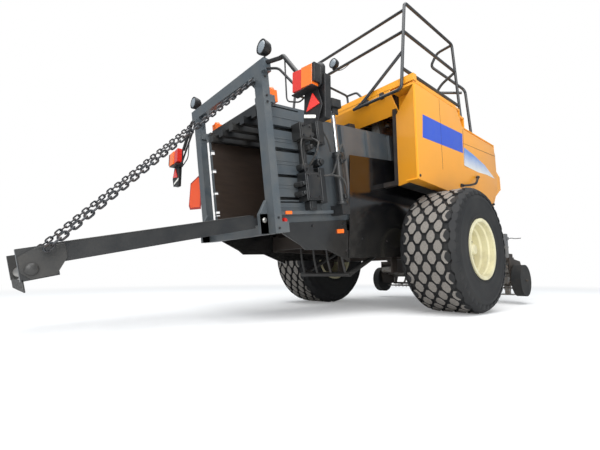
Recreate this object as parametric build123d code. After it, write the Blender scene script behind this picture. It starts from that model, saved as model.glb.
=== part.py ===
from build123d import *
import math
import os

# Large square baler, one bale chamber wide, standing on its two wheels and its drawbar jack.
# Millimetres. +X is the way it travels, +Y its left side, +Z up. Heights start at the floor.
# While it is modelled, x = 0 is the wheel axle. The whole part is centred over the floor at the end.

# Clearances
seat_gap = 0.3
running_gap = 0.05
moving_gap = 8.0

# Wheels
tyre_diameter = 1245.0
tyre_width = 575.0
track = 1975.0
tyre_shoulder = 70.0
bead_diameter = 571.5
rim_lip_diameter = 600.0
rim_lip_width = 14.0
rim_wall = 12.0
rim_disc_inset = 190.0
rim_disc_thickness = 16.0
hub_diameter = 220.0
hub_length = 150.0
spindle_diameter = 90.0
wheel_radius = tyre_diameter / 2
wheel_centre_y = track / 2
rim_width = tyre_width - 10.0

# Axle
axle_size = 150.0
axle_half_length = 640.0
backplate_diameter = 420.0
backplate_thickness = 14.0

# Bale chamber, which climbs towards the front
chamber_tilt = 7.5
chamber_rear_x = -1955.0
chamber_rear_z = 788.0
chamber_width = 820.0
chamber_height = 875.0
chamber_length = 2560.0
chamber_plate = 12.0
wall_thickness = 50.0
wall_height = 985.0
wall_low_height = 925.0
wall_low_start = 560.0
rib_depth = 34.0
rib_width = 40.0

# Rear arch: two posts and the beam across their tops
post_width = 100.0
post_depth = 70.0
post_outer_y = 585.0
post_rear_u = -75.0
beam_top_w = 1245.0
beam_height = 95.0
beam_half_length = 625.0

# Density door and its cylinders
door_hinge_u = 1500.0
door_thickness = 60.0
door_side_gap = 12.0
door_range = 2.0
cylinder_y = 560.0
cylinder_u = 730.0
barrel_diameter = 88.0
barrel_bottom_w = 120.0
barrel_length = 480.0
rod_diameter = 42.0
rod_eye_w = 975.0
rod_eye_diameter = 56.0
rod_eye_width = 34.0
clevis_gap = 6.0
clevis_plate = 14.0
clevis_pin_diameter = 24.0
clevis_pin_play = 3.5

# Bale chute, lowered
chute_hinge_x = -2069.0
chute_hinge_z = 784.0
chute_slope = 13.0
chute_length = 1490.0
chute_half_width = 460.0
chute_rail_height = 100.0
chute_rail_wall = 10.0
chute_pin_diameter = 30.0
chute_end_depth = 165.0
chute_end_length = 165.0
chute_roller_diameter = 70.0

# Chute chains, each in an upper and a lower half that part at one link
chain_upper_y = 500.0
chain_lower_y = 536.0
chain_top_x = -2196.0
chain_top_z = 1870.0
chain_diameter = 28.0
chain_share = 0.42
chain_pin_diameter = 18.0
chain_foot_back = 1370.0
chain_foot_up = 25.0

# Side frame of the machine
frame_y = 430.0
frame_width = 90.0
frame_height = 170.0
frame_rear_x = -1250.0
frame_front_x = 1750.0
frame_top_z = 790.0

# Body shell
body_half_width = 975.0
body_rear_x = -640.0
door_front_x = 1330.0
door_bottom_z = 1272.0
door_top_z = 2247.0
door_flange = 60.0
hinge_y = 965.0
hinge_z = 2260.0
hinge_rod_diameter = 14.0
knuckle_diameter = 26.0
knuckle_length = 60.0
door_step_x = 380.0
hood_top_z = 2055.0
shell_wall = 18.0
door_depth = 245.0
roof_low_z = 2277.0
roof_top_z = 2350.0
deck_thickness = 26.0
deck_front_x = 560.0
hood_half_width = 955.0
nose_half_width = 640.0
nose_front_x = 2420.0

# Glossy side shields between the chamber and the wheels
shield_y = 500.0
shield_thickness = 6.0
shield_rear_x = -1060.0
shield_front_x = 1230.0

# Handrails on the deck
rail_tube = 34.0
rail_y = 862.0
rail_rear_x = -558.0
rail_front_x = 520.0
rail_top_z = 3225.0
rail_mid_z = 2872.0
rail_low_z = 2440.0

# Front end
flywheel_x = 2330.0
flywheel_z = 1330.0
flywheel_diameter = 860.0
flywheel_width = 110.0
gearbox_length = 420.0
gearbox_width = 520.0
gearbox_height = 620.0
drive_shaft_diameter = 60.0
gear_shaft_diameter = 90.0

# Pickup, raised for the road, with its pivot on the side frame
pickup_pivot_x = 1380.0
pickup_pivot_z = 700.0
pickup_pin_diameter = 40.0
pickup_axis_x = 1790.0
pickup_axis_z = 385.0
pickup_half_width = 990.0
pickup_plate = 12.0
pickup_arm_y = 500.0
tine_tip_radius = 222.0
tine_bar_radius = 150.0
tine_bar_diameter = 34.0
tine_size = 7.0
tine_bar_count = 4
tine_count = 14
reel_tube_diameter = 90.0
reel_shaft_diameter = 40.0
auger_x = 1500.0
auger_z = 455.0
auger_tube_diameter = 110.0
auger_diameter = 300.0
gauge_axle_x = 1600.0
gauge_axle_z = 300.0
gauge_axle_diameter = 24.0
gauge_wheel_diameter = 400.0
gauge_wheel_width = 110.0

# Feeder duct
duct_plate = 10.0
duct_rear_x = 600.0
duct_mouth_x = 1370.0

# Drawbar
drawbar_front_x = 4350.0
drawbar_join_x = 3450.0
drawbar_half_width = 95.0
drawbar_eye_x = 4560.0
drawbar_eye_z = 700.0
eye_bore_diameter = 50.0
eye_ring_diameter = 110.0
eye_thickness = 45.0

# Jack
jack_x = 3820.0
jack_y = -150.0
jack_outer_size = 100.0
jack_leg_size = 80.0
jack_foot_size = 260.0
jack_foot_thickness = 16.0
jack_travel = 380.0


# Slots in a chamber wall from its rear edge: height of the middle, height of the slot, length
wall_slots = [
    (958.0, 12.0, 390.0),
    (783.0, 42.0, 382.0),
    (598.0, 34.0, 550.0),
    (378.0, 26.0, 340.0),
    (189.0, 26.0, 370.0),
    (158.0, 12.0, 340.0),
]
wall_rib_places = [900.0, 1300.0, 1700.0, 2100.0, 2480.0]
sill_height = 95.0
sill_front_u = 60.0
lug_gap = 5.0
chute_lug_rear_u = -150.0
door_rail_count = 5
door_rail_width = 66.0
door_cross_places = [60.0, 400.0, 1200.0]
door_pin_diameter = 36.0
yoke_half_width = 620.0
roller_axle_diameter = 30.0
chute_cross_places = [120.0, 700.0, 1290.0]
chute_rail_depth = 60.0
chute_eye_reach = 60.0
chute_eye_radius = 30.0
hinge_places = [-520.0, 150.0]
yoke_pivot_x = -230.0
yoke_pivot_z = 440.0
yoke_tail_x = -1170.0
yoke_tail_z = 540.0
knotter_count = 4
knotter_spacing = 200.0
chute_bar_count = 4


def slab(x0, x1, y0, y1, z0, z1):
    """A block between two corners."""
    block = Box(x1 - x0, y1 - y0, z1 - z0)
    return Pos((x0 + x1) / 2, (y0 + y1) / 2, (z0 + z1) / 2) * block


def mirrored(shape):
    """The same shape on the other side of the machine."""
    return mirror(shape, about=Plane.XZ)


def group(*shapes):
    """Several solids as one piece of the assembly."""
    solids = []
    for shape in shapes:
        solids.extend(shape.solids())
    return Compound(solids)


def both_sides(*shapes):
    return group(*shapes, *[mirrored(shape) for shape in shapes])


def rod_between(start, end, diameter):
    """A straight round bar from one point to another."""
    path = Line(start, end)
    section = Plane(origin=path @ 0, z_dir=path % 0) * Circle(diameter / 2)
    return extrude(section, amount=path.length, dir=path % 0)


def bent_tube(points, diameter, bends):
    """A round tube through the points, with an arc at each corner."""
    path = FilletPolyline(*points, radius=bends)
    section = Plane(origin=path @ 0, z_dir=path % 0) * Circle(diameter / 2)
    return sweep(section, path=path)


def along_y(x, z, diameter, y0, y1):
    """A round bar across the machine."""
    bar = Cylinder(diameter / 2, y1 - y0)
    return Pos(x, (y0 + y1) / 2, z) * Rot(X=90) * bar


def in_chamber(shape):
    """Moves a shape from the chamber's own axes (u forward, w up) to the machine."""
    return Pos(chamber_rear_x, 0, chamber_rear_z) * Rot(Y=-chamber_tilt) * shape


def chamber_point(u, w):
    """Where a point of the chamber's own axes lies in the machine, as x and z."""
    turn = math.radians(chamber_tilt)
    x = chamber_rear_x + u * math.cos(turn) - w * math.sin(turn)
    z = chamber_rear_z + u * math.sin(turn) + w * math.cos(turn)
    return x, z


def chute_point(back, up):
    """A point of the chute: back along it from its hinge, and up off its hinge line."""
    turn = math.radians(chute_slope)
    x = chute_hinge_x - back * math.cos(turn) - up * math.sin(turn)
    z = chute_hinge_z - back * math.sin(turn) + up * math.cos(turn)
    return x, z


def in_chute(shape):
    """Moves a shape from the chute's own axes (x forward from the hinge, z up) to the machine."""
    return Pos(chute_hinge_x, 0, chute_hinge_z) * Rot(Y=-chute_slope) * shape


def make_tyre():
    """One tyre, a ring whose tread is flat across and rounded at its shoulders."""
    outer = wheel_radius
    half = tyre_width / 2
    inner = bead_diameter / 2 + seat_gap
    bead_y = rim_width / 2 - rim_lip_width
    with BuildPart() as tyre:
        with BuildSketch(Plane.XY):
            with BuildLine():
                Polyline(
                    (inner, -bead_y),
                    (rim_lip_diameter / 2 + 6, -bead_y),
                    (rim_lip_diameter / 2 + 25, -half + 8),
                    (outer - 190, -half),
                    (outer - tyre_shoulder - 35, -half + 12),
                    (outer - 22, -half + tyre_shoulder),
                    (outer, -half + 150),
                    (outer, half - 150),
                    (outer - 22, half - tyre_shoulder),
                    (outer - tyre_shoulder - 35, half - 12),
                    (outer - 190, half),
                    (rim_lip_diameter / 2 + 25, half - 8),
                    (rim_lip_diameter / 2 + 6, bead_y),
                    (inner, bead_y),
                    close=True,
                )
            make_face()
        revolve(axis=Axis.Y)
    return Pos(0, wheel_centre_y, wheel_radius) * tyre.part


def make_rim():
    """One deep-dished steel rim with its disc, hub and cap."""
    seat = bead_diameter / 2
    lip = rim_lip_diameter / 2
    half = rim_width / 2
    disc_y = half - rim_disc_inset
    bore = spindle_diameter / 2 + running_gap
    profile = [
        (bore, disc_y - hub_length),
        (hub_diameter / 2, disc_y - hub_length),
        (hub_diameter / 2, disc_y - rim_disc_thickness),
        (seat - rim_wall, disc_y - rim_disc_thickness),
        (seat - rim_wall, -half),
        (lip, -half),
        (lip, -half + rim_lip_width - seat_gap),
        (seat, -half + rim_lip_width - seat_gap),
        (seat, half - rim_lip_width + seat_gap),
        (lip, half - rim_lip_width + seat_gap),
        (lip, half),
        (seat - rim_wall, half),
        (seat - rim_wall, disc_y),
        (hub_diameter / 2, disc_y),
        (hub_diameter / 2 - 20, disc_y + 60),
        (bore, disc_y + 60),
    ]
    with BuildPart() as rim:
        with BuildSketch(Plane.XY):
            with BuildLine():
                Polyline(*profile, close=True)
            make_face()
        revolve(axis=Axis.Y)
    return Pos(0, wheel_centre_y, wheel_radius) * rim.part


def make_axle():
    """The square axle beam with its brake backplates and spindles."""
    z = wheel_radius
    half = axle_size / 2
    beam = slab(-half, half, -axle_half_length, axle_half_length, z - half, z + half)
    disc_y = wheel_centre_y + rim_width / 2 - rim_disc_inset
    plate_y = disc_y - hub_length - moving_gap - backplate_thickness
    carrier = slab(-half + 10, half - 10, axle_half_length, plate_y, z - half + 10, z + half - 10)
    plate = along_y(0, z, backplate_diameter, plate_y, plate_y + backplate_thickness)
    spindle = along_y(0, z, spindle_diameter, plate_y, disc_y + 50)
    end = carrier + plate + spindle
    return beam + end + mirrored(end)


def make_chassis():
    """Two long side members under the chamber, tied by cross members and hung on the axle."""
    y0 = frame_y - frame_width / 2
    y1 = frame_y + frame_width / 2
    low = frame_top_z - frame_height
    side = slab(frame_rear_x, frame_front_x, y0, y1, low, frame_top_z)
    axle_top = wheel_radius + axle_size / 2
    frame = side + mirrored(side)
    for x in (frame_rear_x + 40, -500, 460, frame_front_x - 60):
        frame += slab(x - 40, x + 40, -y0, y0, low + 20, frame_top_z - 20)
    for x in (frame_rear_x + 60, 300):
        u = (x - chamber_rear_x) / math.cos(math.radians(chamber_tilt))
        seat_z = chamber_point(u, -chamber_plate)[1]
        bracket = slab(x - 40, x + 40, chamber_width / 2 - 20, chamber_width / 2 + 40, frame_top_z - 10, seat_z + 20)
        frame += bracket + mirrored(bracket)
    under_chamber = in_chamber(slab(-100, chamber_length, -900, 900, -chamber_plate, chamber_height))
    frame -= under_chamber
    yoke_plate = slab(yoke_pivot_x - 45, yoke_pivot_x + 45, y0, y0 + 20, yoke_pivot_z - 45, low)
    frame += yoke_plate + mirrored(yoke_plate)
    ear_y = pickup_arm_y + pickup_plate + moving_gap
    ear_x = pickup_pivot_x
    ear = slab(ear_x - 50, ear_x + 50, y1, ear_y, pickup_pivot_z - 30, pickup_pivot_z + 30)
    ear -= slab(ear_x - 51, ear_x + 51, pickup_arm_y - 5, ear_y + 1, 0, 2000)
    pin = along_y(ear_x, pickup_pivot_z, pickup_pin_diameter, y1, ear_y)
    frame += ear + mirrored(ear) + pin + mirrored(pin)
    axle_space = slab(-axle_size / 2, axle_size / 2, -y1 - 1, y1 + 1, 0, axle_top)
    return frame - axle_space


def make_wall():
    """The left wall of the bale chamber: a thick slotted plate with upright ribs at the front."""
    inner = chamber_width / 2
    outer = inner + wall_thickness
    wall = slab(0, wall_low_start, inner, outer, -chamber_plate, wall_height)
    wall += slab(wall_low_start, chamber_length, inner, outer, -chamber_plate, wall_low_height)
    for centre, height, length in wall_slots:
        wall -= slab(-1, length, inner - 1, outer + 1, centre - height / 2, centre + height / 2)
    for u in wall_rib_places:
        wall += slab(u, u + rib_width, outer, outer + rib_depth, 0, wall_low_height - 20)
    return in_chamber(wall)


def make_floor():
    half = chamber_width / 2
    return in_chamber(slab(0, chamber_length, -half, half, -chamber_plate, 0))


def make_rear_arch():
    """Two posts behind the walls, the beam across their tops and the sill under the floor."""
    wall_face = chamber_width / 2 + wall_thickness
    inner = post_outer_y - post_width
    rear = post_rear_u
    front = post_rear_u + post_depth
    arch = slab(rear, front, inner, post_outer_y, -sill_height, beam_top_w - beam_height)
    arch += mirrored(arch)
    arch += slab(rear, front, -beam_half_length, beam_half_length, beam_top_w - beam_height, beam_top_w)
    sill = slab(rear, sill_front_u, -post_outer_y, post_outer_y, -sill_height, -chamber_plate)
    wall_tie = slab(rear + 10, 40, wall_face, post_outer_y, wall_height - 60, wall_height)
    lug_face = chute_half_width + lug_gap
    lug = slab(chute_lug_rear_u, rear, lug_face, inner + 15, -sill_height, 60)
    arch = in_chamber(arch + sill + wall_tie + mirrored(wall_tie) + lug + mirrored(lug))
    pin = along_y(chute_hinge_x, chute_hinge_z, chute_pin_diameter, chute_half_width - 25, inner + 15)
    lug_x, lug_z = chain_top_x, chain_top_z
    chain_lug = slab(lug_x - 20, lug_x + 70, inner - 20, inner, lug_z - 22, lug_z + 22)
    chain_pin = along_y(lug_x, lug_z, chain_pin_diameter, inner - 20, chain_upper_y + 22)
    extras = pin + chain_lug + chain_pin
    return arch + extras + mirrored(extras)


def make_density_door():
    """The frame of lengthwise rails over the bales, which its cylinders pull down."""
    half = chamber_width / 2 - door_side_gap
    low = chamber_height
    high = chamber_height + door_thickness
    door = None
    for row in range(door_rail_count):
        y = -half + door_rail_width / 2 + row * (2 * half - door_rail_width) / (door_rail_count - 1)
        rail = slab(-20, door_hinge_u + 40, y - door_rail_width / 2, y + door_rail_width / 2, low, high)
        door = rail if door is None else door + rail
    for u in door_cross_places:
        door += slab(u - 45, u + 45, -half, half, high - 10, high + 60)
    yoke_low = rod_eye_w + rod_eye_diameter / 2 + clevis_gap
    door += slab(cylinder_u - 60, cylinder_u + 60, -half, half, high - 10, yoke_low)
    door += slab(cylinder_u - 60, cylinder_u + 60, -yoke_half_width, yoke_half_width, yoke_low, yoke_low + 75)
    pin_low = cylinder_y - rod_eye_width / 2 - clevis_gap - clevis_plate
    pin_high = 2 * cylinder_y - pin_low
    clevis = slab(cylinder_u - 35, cylinder_u + 35, pin_low, pin_high, rod_eye_w - 25, yoke_low)
    slot = rod_eye_width / 2 + clevis_gap
    clevis -= slab(cylinder_u - 36, cylinder_u + 36, cylinder_y - slot, cylinder_y + slot, rod_eye_w - 26, yoke_low)
    clevis += along_y(cylinder_u, rod_eye_w, clevis_pin_diameter, pin_low, pin_high)
    door += clevis + mirrored(clevis)
    pivot = Pos(door_hinge_u, 0, chamber_height + door_thickness / 2) * Rot(X=90)
    door -= pivot * Cylinder(door_pin_diameter / 2 + running_gap, 2 * half + 2)
    return in_chamber(door)


def make_top_deck():
    """The fixed top of the chamber ahead of the door, with the door's hinge pin in two ears."""
    half = chamber_width / 2
    low = chamber_height
    deck = slab(door_hinge_u + 80, chamber_length, -half, half, low, low + 14)
    ear_inner = half - door_side_gap + moving_gap
    pivot_w = low + door_thickness / 2
    ear = slab(door_hinge_u - 40, door_hinge_u + 120, ear_inner, half, low, wall_low_height)
    deck += ear + mirrored(ear)
    pin = Pos(door_hinge_u, 0, pivot_w) * Rot(X=90) * Cylinder(door_pin_diameter / 2, chamber_width)
    return in_chamber(deck + pin)


def make_cylinder_barrels():
    """Two cylinders outside the walls, pinned to brackets on the walls' feet."""
    wall_face = chamber_width / 2 + wall_thickness
    low = barrel_bottom_w
    centre = low + barrel_length / 2
    barrel = Pos(cylinder_u, cylinder_y, centre) * Cylinder(barrel_diameter / 2, barrel_length)
    bore_depth = barrel_length - 60
    bore = Pos(cylinder_u, cylinder_y, low + 60 + bore_depth / 2)
    barrel -= bore * Cylinder(rod_diameter / 2 + running_gap, bore_depth)
    foot = slab(cylinder_u - 50, cylinder_u + 50, wall_face, cylinder_y + 40, low - 90, low)
    return in_chamber(both_sides(barrel + foot))


def make_cylinder_rods():
    """The chromed rods with their upper eyes, one on each side."""
    low = barrel_bottom_w + 110
    high = rod_eye_w - rod_eye_diameter / 2 + 5
    rod = Pos(cylinder_u, cylinder_y, (low + high) / 2) * Cylinder(rod_diameter / 2, high - low)
    half = rod_eye_width / 2
    rod += along_y(cylinder_u, rod_eye_w, rod_eye_diameter, cylinder_y - half, cylinder_y + half)
    hole = clevis_pin_diameter + 2 * clevis_pin_play
    rod -= along_y(cylinder_u, rod_eye_w, hole, cylinder_y - half - 1, cylinder_y + half + 1)
    return in_chamber(both_sides(rod))


def make_chute():
    """The lowered bale chute: two side channels, cross members, slide bars and its end frame."""
    half = chute_half_width
    high = chute_rail_height / 2
    wall = chute_rail_wall
    inner = half - chute_rail_depth
    rail = slab(-chute_length, -chute_eye_reach, inner, half, -high, high)
    rail -= slab(-chute_length - 1, 0, inner - 1, half - wall, wall - high, high - wall)
    eye = slab(-chute_eye_reach - 30, 0, half - 25, half, -chute_eye_radius, chute_eye_radius)
    eye += Pos(0, half - 12.5, 0) * Rot(X=90) * Cylinder(chute_eye_radius, 25)
    end_low = high - chute_end_depth
    end = slab(-chute_length, chute_end_length - chute_length, inner, half, end_low, high)
    foot_x = -chain_foot_back
    chain_pin = along_y(foot_x, chain_foot_up, chain_pin_diameter, half - 20, chain_lower_y + 22)
    rail = rail + eye + end + chain_pin
    frame = rail + mirrored(rail)
    for back in chute_cross_places:
        frame += slab(-back - 40, -back, -inner - 10, inner + 10, -high, 20 - high)
    for row in range(chute_bar_count):
        y = -half + 130 + row * (2 * half - 260) / (chute_bar_count - 1)
        frame += slab(-chute_length + 140, -chute_eye_reach, y - 22, y + 22, 20 - high, high - 12)
    hole = Rot(X=90) * Cylinder(chute_pin_diameter / 2 + running_gap, 4 * half)
    axle_hole = Pos(-chute_length + 50, 0, end_low + 45) * Rot(X=90)
    frame -= hole
    frame -= axle_hole * Cylinder(roller_axle_diameter / 2 + running_gap, 4 * half)
    return in_chute(frame)


def make_chute_roller():
    """The roller at the chute's tail on its own axle."""
    inner = chute_half_width - chute_rail_depth
    turn = Pos(-chute_length + 50, 0, chute_rail_height / 2 - chute_end_depth + 45) * Rot(X=90)
    roller = Cylinder(chute_roller_diameter / 2, 2 * (inner - moving_gap))
    axle = Cylinder(roller_axle_diameter / 2, 2 * chute_half_width - 10)
    return in_chute(turn * (roller + axle))


def chain_ends(y):
    """The upper eye on the arch, the link where the halves meet and the lower eye on the chute."""
    top = Vector(chain_top_x, y, chain_top_z)
    foot_x, foot_z = chute_point(chain_foot_back, chain_foot_up)
    foot = Vector(foot_x, y, foot_z)
    middle = top + (foot - top) * chain_share
    return top, middle, foot


def make_chain_upper():
    top, middle, foot = chain_ends(chain_upper_y)
    eye = chain_pin_diameter / 2 + 0.2
    bar = rod_between(top, middle, chain_diameter) - along_y(top.X, top.Z, 2 * eye, chain_upper_y - 30, chain_upper_y + 30)
    return both_sides(bar)


def make_chain_lower():
    top, middle, foot = chain_ends(chain_lower_y)
    eye = chain_pin_diameter / 2 + 0.2
    bar = rod_between(middle, foot, chain_diameter) - along_y(foot.X, foot.Z, 2 * eye, chain_lower_y - 30, chain_lower_y + 30)
    return both_sides(bar)


def make_side_shield():
    """The glossy black sheet between the chamber and the wheel, cut out over the axle."""
    rear_low = (shield_rear_x - 30, 528)
    rear_high = (shield_rear_x, 1531)
    front_high = (shield_front_x, 1531 + (shield_front_x - shield_rear_x) * math.tan(math.radians(chamber_tilt)))
    front_low = (shield_front_x, 640)
    outline = Polyline(rear_low, (-400, 560), front_low, front_high, rear_high, close=True)
    sheet = Plane.XZ * make_face(outline)
    sheet = extrude(sheet, amount=-shield_thickness)
    sheet = Pos(0, shield_y - shield_thickness, 0) * sheet
    notch_top = wheel_radius + axle_size / 2 + 25
    notch = slab(-axle_size / 2 - 25, axle_size / 2 + 25, shield_y - 50, shield_y + 50, 0, notch_top)
    return sheet - notch


def side_outline():
    """The side door's outline, seen from the side of the machine."""
    return [
        (body_rear_x, door_bottom_z),
        (body_rear_x, door_top_z),
        (door_step_x - 90, door_top_z),
        (door_step_x, hood_top_z + 20),
        (door_step_x + 60, hood_top_z),
        (door_front_x - 50, hood_top_z),
        (door_front_x, hood_top_z - 120),
        (door_front_x, door_bottom_z - 20),
    ]


def make_side_door():
    """The left moulded door: a skin with turned edges, a deep rear return and hinge knuckles."""
    outline = make_face(Polyline(*side_outline(), close=True))
    block = extrude(Plane.XZ * outline, amount=-door_flange)
    hollow = extrude(Plane.XZ * offset(outline, -shell_wall), amount=-door_flange)
    door = Pos(0, body_half_width - door_flange, 0) * block
    door -= Pos(0, body_half_width - door_flange - shell_wall, 0) * hollow
    rear_inner = body_half_width - door_depth
    door += slab(body_rear_x, body_rear_x + shell_wall, rear_inner, body_half_width, door_bottom_z, door_top_z)
    for x in hinge_places:
        door += slab(x, x + knuckle_length, hinge_y - 8, hinge_y + 8, door_top_z - 4, hinge_z)
        knuckle = Pos(x + knuckle_length / 2, hinge_y, hinge_z) * Rot(Y=90)
        door += knuckle * Cylinder(knuckle_diameter / 2, knuckle_length)
    rod = Pos(0, hinge_y, hinge_z) * Rot(Y=90)
    return door - rod * Cylinder(hinge_rod_diameter / 2 + running_gap, 4000)


def make_roof():
    """The deck over the knotters, with its deep rear lip and the doors' hinge rods."""
    low = roof_low_z
    half = hood_half_width
    deck = slab(body_rear_x + 60, deck_front_x, -half, half, low, low + deck_thickness)
    lip = slab(body_rear_x, body_rear_x + 60, -body_half_width, body_half_width, low, roof_top_z)
    front = door_step_x - 110
    rod = slab(body_rear_x + 5, front, hinge_y - 4, hinge_y + 4, hinge_z, low)
    for x in hinge_places:
        rod -= slab(x - 5, x + knuckle_length + 5, hinge_y - 50, hinge_y + 50, hinge_z - 50, low)
    deck += slab(body_rear_x + 60, front, half - 1, hinge_y + 5, low, low + deck_thickness)
    deck += slab(body_rear_x + 60, front, -hinge_y - 5, 1 - half, low, low + deck_thickness)
    bar = Pos((body_rear_x + 5 + front) / 2, hinge_y, hinge_z) * Rot(Y=90)
    rod += bar * Cylinder(hinge_rod_diameter / 2, front - body_rear_x - 5)
    return deck + lip + rod + mirrored(rod)


def make_front_hood():
    """The lower cover ahead of the deck, and its nose over the main gearbox."""
    high = hood_top_z + 45
    low = high - shell_wall
    wide = hood_half_width
    narrow = nose_half_width
    front = nose_front_x
    top = slab(deck_front_x, door_front_x, -wide, wide, low, high)
    top += slab(door_front_x, front, -narrow, narrow, low, high)
    step = slab(deck_front_x, deck_front_x + shell_wall, -wide, wide, low, roof_low_z + deck_thickness)
    nose = slab(front - shell_wall, front, -narrow, narrow, 1780, low)
    side = slab(door_front_x + 20, front, narrow - shell_wall, narrow, 1500, low)
    shoulder = slab(door_front_x + 20, door_front_x + 20 + shell_wall, narrow, wide, 1500, low)
    return top + step + nose + side + mirrored(side) + shoulder + mirrored(shoulder)


def make_shell_frame():
    """The uprights and rails that carry the roof, the hood and the doors off the chamber."""
    inner, outer = 640.0, 690.0
    low = 1290.0
    roof = roof_low_z
    hood = hood_top_z + 45 - shell_wall
    frame = slab(-520, 1340, inner, outer, low, low + 50)
    # Each upright: its place along the machine and its top
    for x, top in ((-520.0, roof), (410.0, roof), (1290.0, hood)):
        frame += slab(x, x + 50, inner, outer, low, top)
        frame += slab(x, x + 50, shield_y, inner, low, low + 50)
    return both_sides(frame)


def make_twine_boxes():
    """Two rows of twine boxes behind each door."""
    shelf_z = 1290.0
    shelf = slab(-480, 1240, 690, 890, shelf_z, shelf_z + 30)
    boxes = shelf
    # Each box: its start and end along the machine, and its top
    for x0, x1, top in ((-460, -190, 1980), (-180, 90, 1980), (100, 370, 1980), (470, 800, 1930), (810, 1140, 1930)):
        boxes += slab(x0, x1, 720, 885, shelf_z + 30, top)
    return both_sides(boxes)


def make_knotters():
    """The knotter stacks across the top of the chamber on their common shaft."""
    w = chamber_height + 14
    reach = (knotter_count - 1) / 2 * knotter_spacing
    stack = Pos(1900, 0, w + 200) * Rot(X=90) * Cylinder(30, 2 * reach + 200)
    for row in range(knotter_count):
        y = row * knotter_spacing - reach
        stack += slab(1750, 2050, y - 50, y + 50, w, w + 260)
    return in_chamber(stack)


def make_needle_yoke():
    """The needle frame parked under the chamber, with one curved needle for each knotter."""
    arm_y = 340.0
    pivot = along_y(yoke_pivot_x, yoke_pivot_z, 50, -(frame_y - frame_width / 2), frame_y - frame_width / 2)
    arm = rod_between((yoke_pivot_x, arm_y, yoke_pivot_z), (yoke_tail_x, arm_y, yoke_tail_z), 50)
    yoke = pivot + arm + mirrored(arm) + along_y(yoke_tail_x, yoke_tail_z, 60, -arm_y - 20, arm_y + 20)
    for row in range(knotter_count):
        y = (row - (knotter_count - 1) / 2) * knotter_spacing
        route = [(yoke_tail_x, y, yoke_tail_z), (-1290, y, 380), (-1000, y, 330), (-700, y, 400)]
        yoke += bent_tube(route, 26, 60)
    return yoke


def make_feeder():
    """The curved duct that lifts the crop from the pickup into the chamber."""
    x0, x1 = duct_rear_x, duct_mouth_x
    duct_half_width = frame_y - frame_width / 2 - seat_gap
    side = [(x1, 430), (x1 - 350, 400), (x0 + 80, 620), (x0, 1080), (x0 + 420, 1100), (x1, 760)]
    outline = make_face(Polyline(*side, close=True))
    inside = offset(outline, -duct_plate)
    outer = Pos(0, -duct_half_width, 0) * extrude(Plane.XZ * outline, amount=-2 * duct_half_width)
    core_half = duct_half_width - duct_plate
    core = Pos(0, -core_half, 0) * extrude(Plane.XZ * inside, amount=-2 * core_half)
    mouth = slab(x1 - 2 * duct_plate, x1 + 1, -core_half, core_half, 430 + duct_plate, 760 - 3 * duct_plate)
    return outer - core - mouth


def make_gearbox():
    x1 = flywheel_x - flywheel_width / 2 - 120
    z = flywheel_z
    box = slab(x1 - gearbox_length, x1, -gearbox_width / 2, gearbox_width / 2, z - 330, z + 290)
    stub_end = flywheel_x - flywheel_width / 2 - moving_gap
    stub = Pos((x1 + stub_end) / 2, 0, z) * Rot(Y=90) * Cylinder(70, stub_end - x1)
    shaft_end = flywheel_x + flywheel_width / 2 - moving_gap
    stub += Pos((x1 + shaft_end) / 2, 0, z) * Rot(Y=90) * Cylinder(gear_shaft_diameter / 2, shaft_end - x1)
    return box + stub


def make_flywheel():
    """The flywheel with its heavy rim, spokes web and hub."""
    disc = Cylinder(flywheel_diameter / 2, flywheel_width)
    for side in (-1, 1):
        pocket = Cylinder(flywheel_diameter / 2 - 70, 40) - Cylinder(95, 40)
        disc -= Pos(0, 0, side * (flywheel_width / 2 - 20)) * pocket
    bore = Pos(0, 0, -moving_gap / 2) * Cylinder(gear_shaft_diameter / 2 + running_gap, flywheel_width - moving_gap)
    return Pos(flywheel_x, 0, flywheel_z) * Rot(Y=90) * (disc - bore)


def make_gear_frame():
    """The side plates that carry the gearbox and the plunger's crank ahead of the chamber."""
    z0 = frame_top_z
    inner = frame_y - frame_width / 2
    outer = inner + 14
    low = flywheel_z - 330
    plate = Polyline((620, z0), (620, 1900), (1700, 1900), (2120, 1560), (2120, low), (1740, z0), close=True)
    side = Pos(0, inner, 0) * extrude(Plane.XZ * make_face(plate), amount=-(outer - inner))
    tray = slab(1700, 2120, -inner, inner, low - 30, low)
    tie = slab(700, 1000, -inner, inner, 1860, 1890)
    return side + mirrored(side) + tray + tie


def make_drawbar():
    """Two converging beams from the side frames to the tongue."""
    low = frame_top_z - frame_height
    y0 = frame_y - frame_width / 2
    y1 = frame_y + frame_width / 2
    half = drawbar_half_width
    join = drawbar_join_x
    front = drawbar_front_x
    root = frame_front_x
    outline = Polyline((root, y0), (root, y1), (join + 60, half), (front, half), (front, 0), (join, 0), close=True)
    beam = Pos(0, 0, low) * extrude(make_face(outline), amount=frame_height)
    return beam + mirrored(beam)


def make_hitch_eye():
    """The tongue's end flange, its neck and its round eye."""
    x0 = drawbar_front_x
    z = drawbar_eye_z
    thick = eye_thickness
    ring = Pos(drawbar_eye_x, 0, z) * Cylinder(eye_ring_diameter / 2, thick)
    neck = slab(x0 + 30, drawbar_eye_x, -35, 35, z - thick / 2, z + thick / 2)
    flange = slab(x0, x0 + 30, -drawbar_half_width, drawbar_half_width, z - 80, z + 90)
    bore = Pos(drawbar_eye_x, 0, z) * Cylinder(eye_bore_diameter / 2, thick + 2)
    return flange + neck + ring - bore


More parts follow.
